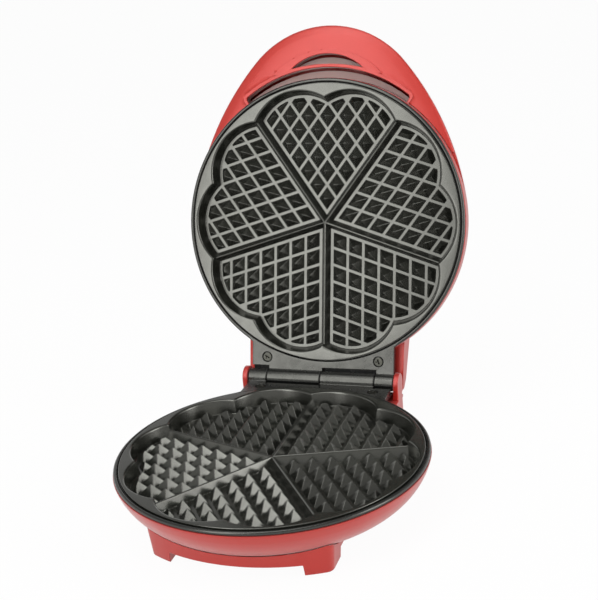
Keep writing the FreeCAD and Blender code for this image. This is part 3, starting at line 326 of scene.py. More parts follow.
def weighted(mesh, angle=40):
    """Smooth shading that keeps flats flat and edges sharper than the angle sharp."""
    mesh.shade_smooth()
    mesh.set_sharp_from_angle(angle=math.radians(angle))
    holder = bpy.data.objects.new("weigh", mesh)
    bpy.context.scene.collection.objects.link(holder)
    bend = holder.modifiers.new("weigh", "WEIGHTED_NORMAL")
    bend.keep_sharp = True
    result = settled(holder)
    bpy.data.objects.remove(holder)
    return result


def settled(holder):
    """Plain mesh of an object with its modifiers applied."""
    bpy.context.view_layer.update()
    seen = holder.evaluated_get(bpy.context.evaluated_depsgraph_get())
    return bpy.data.meshes.new_from_object(seen)


def chains(edges):
    """Groups sharp edges into the smooth lines that they make."""
    lines = {e: [e] for e in edges}
    for edge in edges:
        for corner in edge.verts:
            others = [e for e in corner.link_edges if e in lines and e is not edge]
            if len(others) != 1:
                continue
            one = (edge.other_vert(corner).co - corner.co).normalized()
            two = (others[0].other_vert(corner).co - corner.co).normalized()
            bent = one.dot(two) > -0.75
            if bent or lines[edge] is lines[others[0]]:
                continue
            merged = lines[edge] + lines[others[0]]
            for e in merged:
                lines[e] = merged
    return list({id(line): line for line in lines.values()}.values())


def roomy(lines, width):
    """Edges of the lines that keep clear of all other lines, so that a rounding fits beside them."""
    spots = []
    for k, line in enumerate(lines):
        for edge in line:
            steps = max(1, int(edge.calc_length() / width))
            a, b = (v.co for v in edge.verts)
            spots += [(k, a.lerp(b, (i + 0.5) / steps)) for i in range(steps)]
    near = kdtree.KDTree(len(spots))
    for i, (k, spot) in enumerate(spots):
        near.insert(spot, i)
    near.balance()
    tight = [0] * len(lines)
    count = [0] * len(lines)
    for k, spot in spots:
        count[k] += 1
        tight[k] += any(spots[i][0] != k for co, i, d in near.find_range(spot, 2.1 * width))
    # A line keeps its rounding when few of its spots, or no more than six on a short line, are tight.
    return [e for k, line in enumerate(lines) if tight[k] <= max(0.12 * count[k], min(6, 0.4 * count[k]))
            for e in line]


def soften(form, edges, width, segments):
    """Rounds edges, and draws any corner that strays back to the surface."""
    skin = bvhtree.BVHTree.FromBMesh(form)
    bmesh.ops.bevel(form, geom=edges, offset=width, offset_type="OFFSET", segments=segments, profile=0.5,
                    affect="EDGES", clamp_overlap=False, loop_slide=True)
    for corner in form.verts:
        spot, normal, index, away = skin.find_nearest(corner.co)
        if away > 0.6 * width:
            corner.co = spot


def sharp_edges(form, angle):
    return [e for e in form.edges if e.is_manifold and e.calc_face_angle(0.0) > math.radians(angle)]


def rounded_copy(node, width, segments=2, crowns=(), moved=None):
    """Copy of a CAD node's mesh, with the edges rounded that have room for it.

    Crowns are (test, width) pairs for edges that get a rounding of their own; moved shifts a corner first.
    """
    form = bmesh.new()
    form.from_mesh(frame["nodes"][node].data)
    bmesh.ops.remove_doubles(form, verts=form.verts, dist=MERGE)
    bmesh.ops.dissolve_degenerate(form, edges=form.edges, dist=MERGE)
    bmesh.ops.dissolve_limit(form, angle_limit=math.radians(0.4), verts=form.verts, edges=form.edges)
    if moved:
        for corner in form.verts:
            corner.co = moved(corner.co)
    for test, wide in crowns:
        soften(form, [e for e in sharp_edges(form, 30) if test(*(v.co for v in e.verts))], wide, 4)
    soften(form, roomy(chains(sharp_edges(form, 30)), width), width, segments)
    mesh = bpy.data.meshes.new(node)
    form.to_mesh(mesh)
    form.free()
    return weighted(mesh)


def lobed(angle, lobe, sizes):
    """Radius of the hearts' outline at an angle, for lobes of the given radius."""
    step = math.pi / sizes.hearts
    off = (angle + step / 2) % step - step / 2
    return sizes.lobe_orbit * math.cos(off) + math.sqrt(lobe ** 2 - (sizes.lobe_orbit * math.sin(off)) ** 2)


def plate_rings(sizes):
    """Rings of the casting from the underside to the floor of the hearts: (radius or lobe, is lobed, z)."""
    rim = -sizes.rim_drop
    floor = rim - sizes.recess
    ledge = rim - sizes.flange
    soft = 0.5 * MM         # outer edge of the flange
    rings = [(sizes.body_radius - sizes.chamfer, False, -sizes.depth),
             (sizes.body_radius, False, sizes.chamfer - sizes.depth),
             (sizes.body_radius, False, ledge), (sizes.radius, False, ledge)]
    for k in range(4):
        turn = math.radians(30 * k)
        rings.append((sizes.radius - soft + soft * math.cos(turn), False, rim - soft + soft * math.sin(turn)))
    for k in range(5):
        turn = math.radians(20 * k)
        rings.append((sizes.lobe_rim + sizes.rim_round * (1 - math.sin(turn)), True,
                      rim - sizes.rim_round * (1 - math.cos(turn))))
    for k in range(5):
        turn = math.radians(10 + 20 * k)
        rings.append((sizes.lobe_floor - sizes.floor_round * (1 - math.cos(turn)), True,
                      floor + sizes.floor_round * (1 - math.sin(turn))))
    return rings


def casting(sizes):
    """Plate body: rim, wall and floor of the hearts, closed below, with its dividers."""
    form = bmesh.new()
    loops = []
    for radius, is_lobed, z in plate_rings(sizes):
        loop = []
        for k in range(sizes.steps):
            angle = 2 * math.pi * k / sizes.steps
            reach = lobed(angle, radius, sizes) if is_lobed else radius
            loop.append(form.verts.new((reach * math.cos(angle), reach * math.sin(angle), z)))
        loops.append(loop)
    for low, high in zip(loops, loops[1:]):
        for k in range(sizes.steps):
            n = (k + 1) % sizes.steps
            form.faces.new((low[k], low[n], high[n], high[k]))
    form.faces.new(list(reversed(loops[0])))
    middle = form.verts.new((0, 0, loops[-1][0].co.z))
    for k in range(sizes.steps):
        form.faces.new((loops[-1][k], loops[-1][(k + 1) % sizes.steps], middle))
    floor = middle.co.z
    foot = sizes.divider_base / 2
    crest = sizes.divider_crest / 2
    top = floor + sizes.divider_height
    # Half of a divider's section, from its hollow foot to its rounded crest.
    half = [(foot + 0.5 * MM, floor - 0.3 * MM), (foot + 0.1 * MM, floor + 0.15 * MM),
            (foot - 0.15 * MM, floor + 0.6 * MM), (crest + 0.4 * MM, top - 1.0 * MM),
            (crest + 0.1 * MM, top - 0.45 * MM), (crest - 0.25 * MM, top - 0.12 * MM), (0.1 * MM, top)]
    section = half + [(-y, z) for y, z in reversed(half)]
    for k in range(sizes.hearts):
        turn = Matrix.Rotation(math.radians(90 + 360 / sizes.hearts * k), 4, "Z")
        ends = [[form.verts.new(turn @ Vector((x, y, z))) for y, z in section]
                for x in (0.0, sizes.divider_reach)]
        for a in range(len(section)):
            b = (a + 1) % len(section)
            form.faces.new((ends[0][a], ends[1][a], ends[1][b], ends[0][b]))
        form.faces.new(ends[0])
        form.faces.new(list(reversed(ends[1])))
    bmesh.ops.recalc_face_normals(form, faces=form.faces)
    mesh = bpy.data.meshes.new("casting")
    form.to_mesh(mesh)
    form.free()
    return mesh


def started(name, gives, sizes, others):
    """New geometry tree with its named inputs, and the sockets that they give."""
    tree = bpy.data.node_groups.new(name, "GeometryNodeTree")
    tree.interface.new_socket(name=gives, in_out="OUTPUT", socket_type="NodeSocketGeometry")
    for label, kind in [(label, "Float") for label in sizes] + others:
        tree.interface.new_socket(name=label, in_out="INPUT", socket_type="NodeSocket" + kind)
    return tree, add(tree, "NodeGroupInput").outputs


def ended(tree, instances, coat):
    """Makes the instances plain mesh in their finish, as the tree's result."""
    whole = add(tree, "GeometryNodeRealizeInstances", {"Geometry": instances})
    dressed = add(tree, "GeometryNodeSetMaterial", {"Geometry": whole.outputs[0], "Material": coat})
    add(tree, "NodeGroupOutput", {0: dressed.outputs[0]})
    return tree


def pyramid_tree(sizes):
    """Node tree that sets rows of pyramids along a heart's dividers and repeats the heart."""
    tree, given = started("Heart pyramids", "Pyramids", (
        "Pitch", "Edge", "Start", "Height", "Root", "Foot share", "Tip share", "Floor", "Lobe orbit",
        "Clip foot", "Clip top", "Clip depth", "Clip base", "Keep within"),
        [("Hearts", "Int"), ("Coat", "Material")])
    half = math.pi / sizes.hearts
    rows = 9                # along a divider, more than a heart holds

    grid = add(tree, "GeometryNodeMeshGrid", {"Size X": rows - 1.0, "Size Y": rows - 1.0,
                                              "Vertices X": rows, "Vertices Y": rows})
    split = add(tree, "ShaderNodeSeparateXYZ", {"Vector": add(tree, "GeometryNodeInputPosition").outputs[0]})
    along = []
    for axis in (0, 1):
        row = add(tree, "ShaderNodeMath", {0: split.outputs[axis], 1: (rows - 1) / 2}, operation="ADD")
        along.append(add(tree, "ShaderNodeMath", {0: row.outputs[0], 1: given["Pitch"], 2: given["Start"]},
                         operation="MULTIPLY_ADD").outputs[0])
    total = add(tree, "ShaderNodeMath", {0: along[0], 1: along[1]}, operation="ADD")
    differ = add(tree, "ShaderNodeMath", {0: along[1], 1: along[0]}, operation="SUBTRACT")
    x = add(tree, "ShaderNodeMath", {0: total.outputs[0], 1: math.cos(half)}, operation="MULTIPLY")
    y = add(tree, "ShaderNodeMath", {0: differ.outputs[0], 1: math.sin(half)}, operation="MULTIPLY")
    sunk = add(tree, "ShaderNodeMath", {0: given["Floor"], 1: given["Root"]}, operation="SUBTRACT").outputs[0]
    tall = add(tree, "ShaderNodeMath", {0: given["Height"], 1: given["Root"]}, operation="ADD").outputs[0]
    spot = add(tree, "ShaderNodeCombineXYZ", {0: x.outputs[0], 1: y.outputs[0], 2: sunk})
    lattice = add(tree, "GeometryNodeSetPosition", {"Geometry": grid.outputs["Mesh"],
                                                    "Position": spot.outputs[0]})

    centres, nearest = [], []
    here = add(tree, "GeometryNodeInputPosition").outputs[0]
    flat = add(tree, "ShaderNodeVectorMath", {0: here, 1: (1, 1, 0)}, operation="MULTIPLY")
    for side in (-1, 1):
        cx = add(tree, "ShaderNodeMath", {0: given["Lobe orbit"], 1: math.cos(half / 2)},
                 operation="MULTIPLY")
        cy = add(tree, "ShaderNodeMath", {0: given["Lobe orbit"], 1: side * math.sin(half / 2)},
                 operation="MULTIPLY")
        centre = add(tree, "ShaderNodeCombineXYZ", {0: cx.outputs[0], 1: cy.outputs[0]})
        centres.append(centre.outputs[0])
        nearest.append(add(tree, "ShaderNodeVectorMath", {0: flat.outputs[0], 1: centre.outputs[0]},
                           operation="DISTANCE").outputs["Value"])
    least = add(tree, "ShaderNodeMath", {0: nearest[0], 1: nearest[1]}, operation="MINIMUM")
    far = add(tree, "FunctionNodeCompare", {0: least.outputs[0], 1: given["Keep within"]},
              operation="GREATER_THAN")
    placed = add(tree, "ShaderNodeSeparateXYZ", {"Vector": here})
    reach = add(tree, "ShaderNodeMath", {0: given["Lobe orbit"], 1: 0.75}, operation="MULTIPLY")
    outer = add(tree, "FunctionNodeCompare", {0: placed.outputs[0], 1: reach.outputs[0]},
                operation="GREATER_THAN")
    spare = add(tree, "FunctionNodeBooleanMath", {0: far.outputs[0], 1: outer.outputs[0]}, operation="AND")
    kept = add(tree, "GeometryNodeDeleteGeometry", {"Geometry": lattice.outputs[0],
                                                    "Selection": spare.outputs[0]}, domain="POINT")

    cone = add(tree, "GeometryNodeMeshCone", {"Vertices": 4, "Radius Top": given["Tip share"],
                                              "Radius Bottom": given["Foot share"], "Depth": tall})
    wide = add(tree, "ShaderNodeMath", {0: given["Edge"], 1: math.cos(half)}, operation="MULTIPLY")
    narrow = add(tree, "ShaderNodeMath", {0: given["Edge"], 1: math.sin(half)}, operation="MULTIPLY")
    scale = add(tree, "ShaderNodeCombineXYZ", {0: wide.outputs[0], 1: narrow.outputs[0], 2: 1.0})
    pyramid = add(tree, "GeometryNodeTransform", {"Geometry": cone.outputs["Mesh"],
                                                  "Scale": scale.outputs[0]})
    set_out = add(tree, "GeometryNodeInstanceOnPoints", {"Points": kept.outputs[0],
                                                         "Instance": pyramid.outputs[0]})
    heart = add(tree, "GeometryNodeRealizeInstances", {"Geometry": set_out.outputs[0]})

    clips = []
    for centre in centres:
        drum = add(tree, "GeometryNodeMeshCone", {"Vertices": 128, "Radius Top": given["Clip top"],
                                                  "Radius Bottom": given["Clip foot"],
                                                  "Depth": given["Clip depth"]})
        stand = add(tree, "ShaderNodeCombineXYZ", {2: given["Clip base"]})
        place = add(tree, "ShaderNodeVectorMath", {0: centre, 1: stand.outputs[0]}, operation="ADD")
        clips.append(add(tree, "GeometryNodeTransform", {"Geometry": drum.outputs["Mesh"],
                                                         "Translation": place.outputs[0]}))
    # A square prism keeps the heart's point, which the lobes leave out.
    tip = add(tree, "GeometryNodeMeshCylinder", {"Vertices": 4, "Radius": 30 * MM, "Depth": 46 * MM})
    clips.append(add(tree, "GeometryNodeTransform", {"Geometry": tip.outputs["Mesh"],
                                                     "Translation": (22 * MM, 0, 0)}))
    region = add(tree, "GeometryNodeMeshBoolean", {"Mesh 2": [c.outputs[0] for c in clips]},
                 operation="UNION", solver="EXACT")
    cut = add(tree, "GeometryNodeMeshBoolean", {"Mesh 2": [heart.outputs[0], region.outputs["Mesh"]]},
              operation="INTERSECT", solver="EXACT")

    spots = add(tree, "GeometryNodePoints", {"Count": given["Hearts"]})
    turn = add(tree, "ShaderNodeMath", {0: add(tree, "GeometryNodeInputIndex").outputs[0], 1: 2 * half,
                                        2: math.pi / 2 - half}, operation="MULTIPLY_ADD")
    euler = add(tree, "ShaderNodeCombineXYZ", {2: turn.outputs[0]})
    about = add(tree, "FunctionNodeEulerToRotation", {"Euler": euler.outputs[0]})
    hearts = add(tree, "GeometryNodeInstanceOnPoints", {"Points": spots.outputs[0],
                                                        "Instance": cut.outputs["Mesh"],
                                                        "Rotation": about.outputs[0]})
    return ended(tree, hearts.outputs[0], given["Coat"])


def grown(tree, values, width):
    """Mesh that a node tree gives for the named inputs, with its edges rounded by the width."""
    holder = bpy.data.objects.new(tree.name, bpy.data.meshes.new(tree.name))
    bpy.context.scene.collection.objects.link(holder)
    nodes = holder.modifiers.new("nodes", "NODES")
    nodes.node_group = tree
    for item in tree.interface.items_tree:
        if item.item_type == "SOCKET" and item.in_out == "INPUT" and item.name in values:
            nodes[item.identifier] = values[item.name]
    soft = holder.modifiers.new("soft", "BEVEL")
    soft.width = width
    soft.segments = 2
    soft.limit_method = "ANGLE"
    soft.angle_limit = math.radians(28)
    soft.use_clamp_overlap = False
    mesh = settled(holder)
    bpy.data.objects.remove(holder)
    if not mesh.polygons:
        raise RuntimeError(tree.name + " came out empty")
    return mesh


def joined(*parts):
    """One mesh of several (mesh, matrix) pairs."""
    form = bmesh.new()
    for mesh, place in parts:
        start = len(form.verts)
        form.from_mesh(mesh)
        form.verts.ensure_lookup_table()
        bmesh.ops.transform(form, matrix=place, verts=form.verts[start:])
    mesh = bpy.data.meshes.new("joined")
    form.to_mesh(mesh)
    form.free()
    return mesh


class WAFFLE_OT_plates(bpy.types.Operator):
    """Casts the two baking plates with their hearts, dividers and pyramids"""
    bl_idname = "waffle.plates"
    bl_label = "Baking plates"

    def execute(self, context):
        sizes = context.scene.waffle_plate
        lean = math.sin(2 * math.pi / sizes.hearts)
        edge = sizes.pitch - sizes.groove / lean
        run = (edge - sizes.pyramid_tip) / 2 * lean
        clip = sizes.lobe_floor - sizes.border
        # The clips reach past the pyramids, above and below, so that no faces coincide.
        spare = sizes.root + 0.7 * MM
        slant = run * spare / sizes.pyramid_height
        tip = sizes.pyramid_tip / edge
        floor = -sizes.rim_drop - sizes.recess
        values = {
            "Pitch": sizes.pitch, "Edge": edge, "Height": sizes.pyramid_height, "Root": sizes.root,
            "Start": (sizes.divider_base / 2 + sizes.strip) / lean + edge / 2,
            "Foot share": 1 + sizes.root / sizes.pyramid_height * (1 - tip), "Tip share": tip, "Floor": floor,
            "Lobe orbit": sizes.lobe_orbit, "Clip foot": clip + slant, "Clip top": clip - run - slant,
            "Clip depth": sizes.pyramid_height + 2 * spare, "Clip base": floor - spare,
            "Keep within": clip + 2.6 * MM, "Hearts": sizes.hearts, "Coat": material("nonstick_plate"),
        }
        pyramids = grown(pyramid_tree(sizes), values, sizes.pyramid_round)
        body = casting(sizes)
        for rides, half, place in HALVES:
            mesh = weighted(joined((body, place), (pyramids, place)), 50)
            put(half + "_baking_plate", mesh, rides, "nonstick_plate", half + "_plate", half + "_plate_rim")
        return {"FINISHED"}


def screw_tree():
    """Node tree that sets cross-head screws in a row."""
    tree, given = started("Cross-head screws", "Screws", (
        "Head radius", "Head height", "Cross", "Cross width", "Cross depth", "Shank", "Shank length",
        "Half row", "Setback", "Seat"), [("Finish", "Material")])
    start_x = add(tree, "ShaderNodeMath", {0: given["Half row"], 1: -1.0}, operation="MULTIPLY")
    start = add(tree, "ShaderNodeCombineXYZ", {0: start_x.outputs[0], 1: given["Setback"], 2: given["Seat"]})
    step_x = add(tree, "ShaderNodeMath", {0: given["Half row"], 1: 2.0}, operation="MULTIPLY")
    step = add(tree, "ShaderNodeCombineXYZ", {0: step_x.outputs[0]})
    row = add(tree, "GeometryNodeMeshLine", {"Count": 2, "Start Location": start.outputs[0],
                                             "Offset": step.outputs[0]})
    head = add(tree, "GeometryNodeMeshCylinder", {"Vertices": 40, "Radius": given["Head radius"],
                                                  "Depth": given["Head height"]})
    half = add(tree, "ShaderNodeMath", {0: given["Head height"], 1: 0.5}, operation="MULTIPLY")
    lift = add(tree, "ShaderNodeCombineXYZ", {2: half.outputs[0]})
    raised = add(tree, "GeometryNodeTransform", {"Geometry": head.outputs["Mesh"],
                                                 "Translation": lift.outputs[0]})
    deep = add(tree, "ShaderNodeMath", {0: given["Cross depth"], 1: 2.0}, operation="MULTIPLY")
    top = add(tree, "ShaderNodeCombineXYZ", {2: given["Head height"]})
    slots = []
    for pair in (("Cross", "Cross width"), ("Cross width", "Cross")):
        bar = add(tree, "ShaderNodeCombineXYZ", {0: given[pair[0]], 1: given[pair[1]], 2: deep.outputs[0]})
        cube = add(tree, "GeometryNodeMeshCube", {"Size": bar.outputs[0]})
        slots.append(add(tree, "GeometryNodeTransform", {"Geometry": cube.outputs["Mesh"],
                                                         "Translation": top.outputs[0]}))
    cut = add(tree, "GeometryNodeMeshBoolean", {"Mesh 1": raised.outputs[0],
                                                "Mesh 2": [c.outputs[0] for c in slots]},
              operation="DIFFERENCE")
    shank = add(tree, "GeometryNodeMeshCylinder", {"Vertices": 20, "Radius": given["Shank"],
                                                   "Depth": given["Shank length"]})
    under = add(tree, "ShaderNodeMath", {0: given["Shank length"], 1: -0.49}, operation="MULTIPLY")
    drop = add(tree, "ShaderNodeCombineXYZ", {2: under.outputs[0]})
    lowered = add(tree, "GeometryNodeTransform", {"Geometry": shank.outputs["Mesh"],
                                                  "Translation": drop.outputs[0]})
    screw = add(tree, "GeometryNodeJoinGeometry", {0: [cut.outputs["Mesh"], lowered.outputs[0]]})
    # Each screw stopped at another angle.
    turn = add(tree, "ShaderNodeMath", {0: add(tree, "GeometryNodeInputIndex").outputs[0], 1: 0.7, 2: 0.35},
               operation="MULTIPLY_ADD")
    euler = add(tree, "ShaderNodeCombineXYZ", {2: turn.outputs[0]})
    about = add(tree, "FunctionNodeEulerToRotation", {"Euler": euler.outputs[0]})
    placed = add(tree, "GeometryNodeInstanceOnPoints", {"Points": row.outputs["Mesh"],
                                                        "Instance": screw.outputs[0],
                                                        "Rotation": about.outputs[0]})
    return ended(tree, placed.outputs[0], given["Finish"])


def pad_tree():
    """Node tree that sets ringed rubber pads on the corners of a rectangle."""
    tree, given = started("Rubber pads", "Pads", ("Radius", "Height", "Across", "Along", "Middle"),
                          [("Finish", "Material")])
    grid = add(tree, "GeometryNodeMeshGrid", {"Size X": given["Across"], "Size Y": given["Along"],
                                              "Vertices X": 2, "Vertices Y": 2})
    half = add(tree, "ShaderNodeMath", {0: given["Height"], 1: 0.5}, operation="MULTIPLY")
    shift = add(tree, "ShaderNodeCombineXYZ", {1: given["Middle"], 2: half.outputs[0]})
    corners = add(tree, "GeometryNodeTransform", {"Geometry": grid.outputs["Mesh"],
                                                  "Translation": shift.outputs[0]})
    disc = add(tree, "GeometryNodeMeshCylinder", {"Vertices": 40, "Radius": given["Radius"],
                                                  "Depth": given["Height"]})
    inner = add(tree, "ShaderNodeMath", {0: given["Radius"], 1: 0.6}, operation="MULTIPLY")
    hollow = add(tree, "GeometryNodeMeshCylinder", {"Vertices": 40, "Radius": inner.outputs[0],
                                                    "Depth": given["Height"]})
    low = add(tree, "ShaderNodeMath", {0: given["Height"], 1: -0.75}, operation="MULTIPLY")
    drop = add(tree, "ShaderNodeCombineXYZ", {2: low.outputs[0]})
    dish = add(tree, "GeometryNodeTransform", {"Geometry": hollow.outputs["Mesh"],
                                               "Translation": drop.outputs[0]})
    pad = add(tree, "GeometryNodeMeshBoolean", {"Mesh 1": disc.outputs["Mesh"], "Mesh 2": dish.outputs[0]},
              operation="DIFFERENCE")
    placed = add(tree, "GeometryNodeInstanceOnPoints", {"Points": corners.outputs[0],
                                                        "Instance": pad.outputs["Mesh"]})
    return ended(tree, placed.outputs[0], given["Finish"])


class WAFFLE_OT_frames(bpy.types.Operator):
    """Rounds the two bezel frames, with a crowned ring round each plate"""
    bl_idname = "waffle.frames"
    bl_label = "Bezel frames"

    def execute(self, context):
        fit = context.scene.waffle_fit
        for body, half, place in HALVES:
            home = place.inverted()

            def on_ring(*ends):
                spots = [home @ end for end in ends]
                return all(min(abs(s.xy.length - fit.ring_inner), abs(s.xy.length - fit.ring_outer)) < NEAR
                           and abs(s.z + fit.frame_drop) < NEAR for s in spots)

            def barrel_end(*ends):
                spots = [home @ end for end in ends]
                round_pin = all(abs(math.hypot(s.y - HINGE.y, s.z) - fit.barrel) < NEAR for s in spots)
                return round_pin and abs(spots[0].x - spots[1].x) < 0.4 * NEAR

            def sloped(spot):
                here = home @ spot
                if abs(here.z - fit.web_top) < NEAR and abs(here.y - fit.web_edge) < NEAR:
                    here.z -= fit.web_slope
                return place @ here

            crowns = (on_ring, fit.crown), (barrel_end, fit.barrel_round)
            mesh = rounded_copy(half + "_frame", FRAME_ROUND, 2, crowns, sloped)
            put(half + "_bezel", mesh, body, "black_frame", half + "_frame")
        return {"FINISHED"}


class WAFFLE_OT_tab_screws(bpy.types.Operator):
    """Sets the cross-head screws of the two hinge tabs"""
    bl_idname = "waffle.tab_screws"
    bl_label = "Tab screws"

    def execute(self, context):
        fit = context.scene.waffle_fit
        row = grown(screw_tree(), {
            "Head radius": fit.head_radius, "Head height": fit.head_height, "Cross": fit.cross,
            "Cross width": fit.cross_width, "Cross depth": fit.cross_depth, "Shank": fit.shank,
            "Shank length": fit.shank_length, "Half row": fit.screw_x, "Setback": fit.screw_y,
            "Seat": -fit.seat, "Finish": material("bright_screw")}, 0.18 * MM)
        for body, half, place in HALVES:
            mesh = weighted(joined((row, place)))
            put(half + "_tab_screws", mesh, body, "bright_screw", half + "_frame_screws")
        return {"FINISHED"}


class WAFFLE_OT_base(bpy.types.Operator):
    """Rounds the edges of the base housing with its hinge ears"""
    bl_idname = "waffle.base"
    bl_label = "Base housing"

    def execute(self, context):
        mesh = rounded_copy("base_bowl", context.scene.waffle_fit.edge)
        put("base_shell", mesh, "base", "red_housing", "base_bowl")
        return {"FINISHED"}


class WAFFLE_OT_stand(bpy.types.Operator):
    """Rounds the edges of the stand and its legs"""
    bl_idname = "waffle.stand"
    bl_label = "Stand"

    def execute(self, context):
        mesh = rounded_copy("base_stand", context.scene.waffle_fit.edge)
        put("stand", mesh, "base", "red_housing", "base_stand")
        return {"FINISHED"}


class WAFFLE_OT_foot_pads(bpy.types.Operator):
    """Sets the rubber pads under the legs"""
    bl_idname = "waffle.foot_pads"
    bl_label = "Rubber pads"

    def execute(self, context):
        fit = context.scene.waffle_fit
        low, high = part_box("foot_pads")
        mesh = grown(pad_tree(), {
            "Radius": fit.pad_radius, "Height": high[2] - low[2], "Across": 2 * fit.pad_x,
            "Along": fit.pad_front + fit.pad_back, "Middle": (fit.pad_back - fit.pad_front) / 2,
            "Finish": material("foot_rubber")}, 0.25 * MM)
        put("rubber_pads", weighted(mesh), "base", "foot_rubber", "foot_pads")
        return {"FINISHED"}


class WAFFLE_OT_gland(bpy.types.Operator):
    """Rounds the bush in the rear wall"""
    bl_idname = "waffle.gland"
    bl_label = "Cord bush"

    def execute(self, context):
        put("cord_bush", rounded_copy("cord_gland", FRAME_ROUND, 3), "base", "black_gland", "cord_gland")
        return {"FINISHED"}


class WAFFLE_OT_lid(bpy.types.Operator):
    """Rounds the edges of the lid"""
    bl_idname = "waffle.lid"
    bl_label = "Lid"

    def execute(self, context):
        mesh = rounded_copy("lid_shell", context.scene.waffle_fit.edge)
        put("lid_cover", mesh, "lid", "red_housing", "lid_shell")
        return {"FINISHED"}


class WAFFLE_OT_handle(bpy.types.Operator):
    """Rounds the handle's underside and the sheet behind its slot and pocket"""
    bl_idname = "waffle.handle"
    bl_label = "Handle"

    def execute(self, context):
        mesh = rounded_copy("handle_cover", context.scene.waffle_fit.edge)
        put("handle", mesh, "lid", "red_housing", "handle_cover")
        put("handle_sheet", rounded_copy("handle_shield", SMALL_ROUND), "lid", "grey_shield", "handle_shield")
        return {"FINISHED"}


class WAFFLE_OT_lenses(bpy.types.Operator):
    """Smooths the two indicator lenses on the lid"""
    bl_idname = "waffle.lenses"
    bl_label = "Indicator lenses"

    def execute(self, context):
        put("power_cap", rounded_copy("power_lens", SMALL_ROUND), "lid", "red_lens", "power_lens")
        put("ready_cap", rounded_copy("ready_lens", SMALL_ROUND), "lid", "green_lens", "ready_lens")
        return {"FINISHED"}


class WAFFLE_OT_inner(bpy.types.Operator):
    """Gives every remaining piece its finish"""
    bl_idname = "waffle.inner"
    bl_label = "Inner pieces"

    def execute(self, context):
        slots = {s["node"]: s["material_slot"] for s in frame["record"]["subparts"]}
        for name, node in frame["nodes"].items():
            if node.hide_render:
                continue
            node.data.materials.clear()
            node.data.materials.append(material(slots[name]))
        return {"FINISHED"}


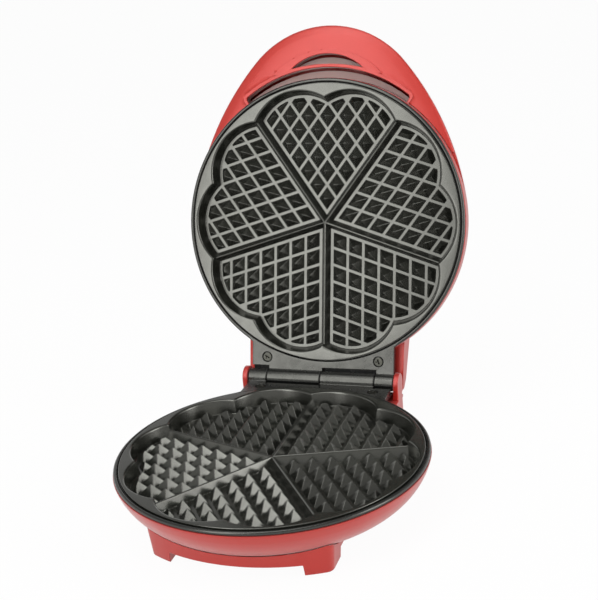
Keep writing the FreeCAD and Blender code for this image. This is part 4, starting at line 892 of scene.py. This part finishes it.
class WAFFLE_OT_stage(bpy.types.Operator):
    """Sets the floor, the studio light and the camera"""
    bl_idname = "waffle.stage"
    bl_label = "Stage"

    def execute(self, context):
        scene = context.scene
        scene.view_settings.view_transform = "Standard"
        self.floor(scene)
        self.world(scene)
        self.lamps(scene)
        self.camera(scene)
        return {"FINISHED"}

    def seen(self, tree):
        """1 for rays from the camera, a reflection or a glass, else 0."""
        path = add(tree, "ShaderNodeLightPath")
        first = add(tree, "ShaderNodeMath", {0: path.outputs["Is Camera Ray"],
                                             1: path.outputs["Is Glossy Ray"]}, operation="MAXIMUM")
        return add(tree, "ShaderNodeMath", {0: first.outputs[0], 1: path.outputs["Is Transmission Ray"]},
                   operation="MAXIMUM").outputs[0]

    def floor(self, scene):
        form = bmesh.new()
        bmesh.ops.create_grid(form, x_segments=1, y_segments=1, size=4.0)
        mesh = bpy.data.meshes.new("studio_floor")
        form.to_mesh(mesh)
        form.free()
        piece = bpy.data.objects.new("studio_floor", mesh)
        scene.collection.objects.link(piece)
        pale = bpy.data.materials.new("white paper sweep")
        pale.use_nodes = True
        tree = pale.node_tree
        tree.nodes.clear()
        matt = add(tree, "ShaderNodeBsdfDiffuse", {"Color": scene.waffle_finishes.floor})
        white = add(tree, "ShaderNodeEmission", {"Color": (1, 1, 1, 1), "Strength": 1.0})
        # Reflections of the floor keep more of the object's shadow than the floor that the camera sees.
        plain = add(tree, "ShaderNodeMath", {0: add(tree, "ShaderNodeLightPath").outputs["Is Camera Ray"],
                                             1: FLOOR_SEEN - FLOOR_MIRRORED, 2: FLOOR_MIRRORED},
                    operation="MULTIPLY_ADD")
        share = add(tree, "ShaderNodeMath", {0: self.seen(tree), 1: plain.outputs[0]}, operation="MULTIPLY")
        mix = add(tree, "ShaderNodeMixShader", {0: share.outputs[0], 1: matt.outputs[0], 2: white.outputs[0]})
        add(tree, "ShaderNodeOutputMaterial", {"Surface": mix.outputs[0]})
        mesh.materials.append(pale)

    def world(self, scene):
        scene.world = bpy.data.worlds.new("studio")
        scene.world.use_nodes = True
        tree = scene.world.node_tree
        tree.nodes.clear()
        fill = add(tree, "ShaderNodeBackground", {"Color": (1, 1, 1, 1), "Strength": FILL})
        white = add(tree, "ShaderNodeBackground", {"Color": (1, 1, 1, 1), "Strength": 1.0})
        # In reflections the white backdrop ends below a dim ceiling; behind the object it is white all over.
        way = add(tree, "ShaderNodeSeparateXYZ", {0: add(tree, "ShaderNodeTexCoord").outputs["Generated"]})
        wall = add(tree, "ShaderNodeMapRange", {"Value": way.outputs["Z"], "From Min": WALL_ENDS[0],
                                                "From Max": WALL_ENDS[1], "To Min": 1.0, "To Max": 0.0})
        share = add(tree, "ShaderNodeMath", {0: self.seen(tree), 1: wall.outputs["Result"]},
                    operation="MULTIPLY")
        shown = add(tree, "ShaderNodeMath", {0: share.outputs[0],
                                             1: add(tree, "ShaderNodeLightPath").outputs["Is Camera Ray"]},
                    operation="MAXIMUM")
        mix = add(tree, "ShaderNodeMixShader", {0: shown.outputs[0], 1: fill.outputs[0], 2: white.outputs[0]})
        add(tree, "ShaderNodeOutputWorld", {"Surface": mix.outputs[0]})

    def lamps(self, scene):
        aim = Vector(LAMPS_AIM) * MM
        for name, turn, height, away, wide, tall, power in LAMPS:
            lamp = bpy.data.lights.new(name, "AREA")
            lamp.shape = "RECTANGLE"
            lamp.size = wide
            lamp.size_y = tall
            lamp.energy = power
            holder = bpy.data.objects.new(name, lamp)
            a, e = math.radians(turn), math.radians(height)
            reach = Vector((math.sin(a) * math.cos(e), -math.cos(a) * math.cos(e), math.sin(e)))
            holder.location = aim + reach * away * MM
            holder.rotation_euler = reach.to_track_quat("Z", "Y").to_euler()
            scene.collection.objects.link(holder)

    def camera(self, scene):
        azimuth, elevation, roll = (math.radians(v) for v in CAMERA_TURN)
        back = Vector((math.sin(azimuth) * math.cos(elevation), -math.cos(azimuth) * math.cos(elevation),
                       math.sin(elevation)))
        right = Vector((math.cos(azimuth), math.sin(azimuth), 0))
        up = back.cross(right)
        across = math.cos(roll) * right + math.sin(roll) * up
        above = math.cos(roll) * up - math.sin(roll) * right
        lens = bpy.data.cameras.new("photo camera")
        lens.lens = FOCAL_PIXELS / FRAME_PIXELS * SENSOR
        lens.sensor_width = SENSOR
        lens.clip_start = 0.05
        holder = bpy.data.objects.new("photo camera", lens)
        spot = Vector(CAMERA_AIM) * MM + back * CAMERA_AWAY * MM
        holder.matrix_world = Matrix.Translation(spot) @ Matrix((across, above, back)).transposed().to_4x4()
        scene.collection.objects.link(holder)
        scene.camera = holder


STEPS = (WAFFLE_OT_plates, WAFFLE_OT_frames, WAFFLE_OT_tab_screws, WAFFLE_OT_base, WAFFLE_OT_stand,
         WAFFLE_OT_foot_pads, WAFFLE_OT_gland, WAFFLE_OT_lid, WAFFLE_OT_handle, WAFFLE_OT_lenses,
         WAFFLE_OT_inner, WAFFLE_OT_stage)


class WAFFLE_PT_panel(bpy.types.Panel):
    """Lists the steps that dress the waffle maker"""
    bl_label = "Waffle maker"
    bl_idname = "WAFFLE_PT_panel"
    bl_space_type = "VIEW_3D"
    bl_region_type = "UI"
    bl_category = "Waffle maker"

    def draw(self, context):
        for step in STEPS:
            self.layout.operator(step.bl_idname)
        for group in (context.scene.waffle_plate, context.scene.waffle_fit, context.scene.waffle_finishes):
            box = self.layout.box()
            for key in group.__annotations__:
                box.prop(group, key)


CLASSES = (WafflePlateSizes, WaffleFitSizes, WaffleFinishes) + STEPS + (WAFFLE_PT_panel,)


def register():
    for kind in CLASSES:
        bpy.utils.register_class(kind)
    bpy.types.Scene.waffle_plate = PointerProperty(type=WafflePlateSizes)
    bpy.types.Scene.waffle_fit = PointerProperty(type=WaffleFitSizes)
    bpy.types.Scene.waffle_finishes = PointerProperty(type=WaffleFinishes)


def unregister():
    for key in ("waffle_plate", "waffle_fit", "waffle_finishes"):
        delattr(bpy.types.Scene, key)
    for kind in reversed(CLASSES):
        bpy.utils.unregister_class(kind)


def main():
    register()
    bpy.ops.waffle.plates()
    bpy.ops.waffle.frames()
    bpy.ops.waffle.tab_screws()
    bpy.ops.waffle.base()
    bpy.ops.waffle.stand()
    bpy.ops.waffle.foot_pads()
    bpy.ops.waffle.gland()
    bpy.ops.waffle.lid()
    bpy.ops.waffle.handle()
    bpy.ops.waffle.lenses()
    bpy.ops.waffle.inner()
    bpy.ops.waffle.stage()


if __name__ == "__main__":
    main()
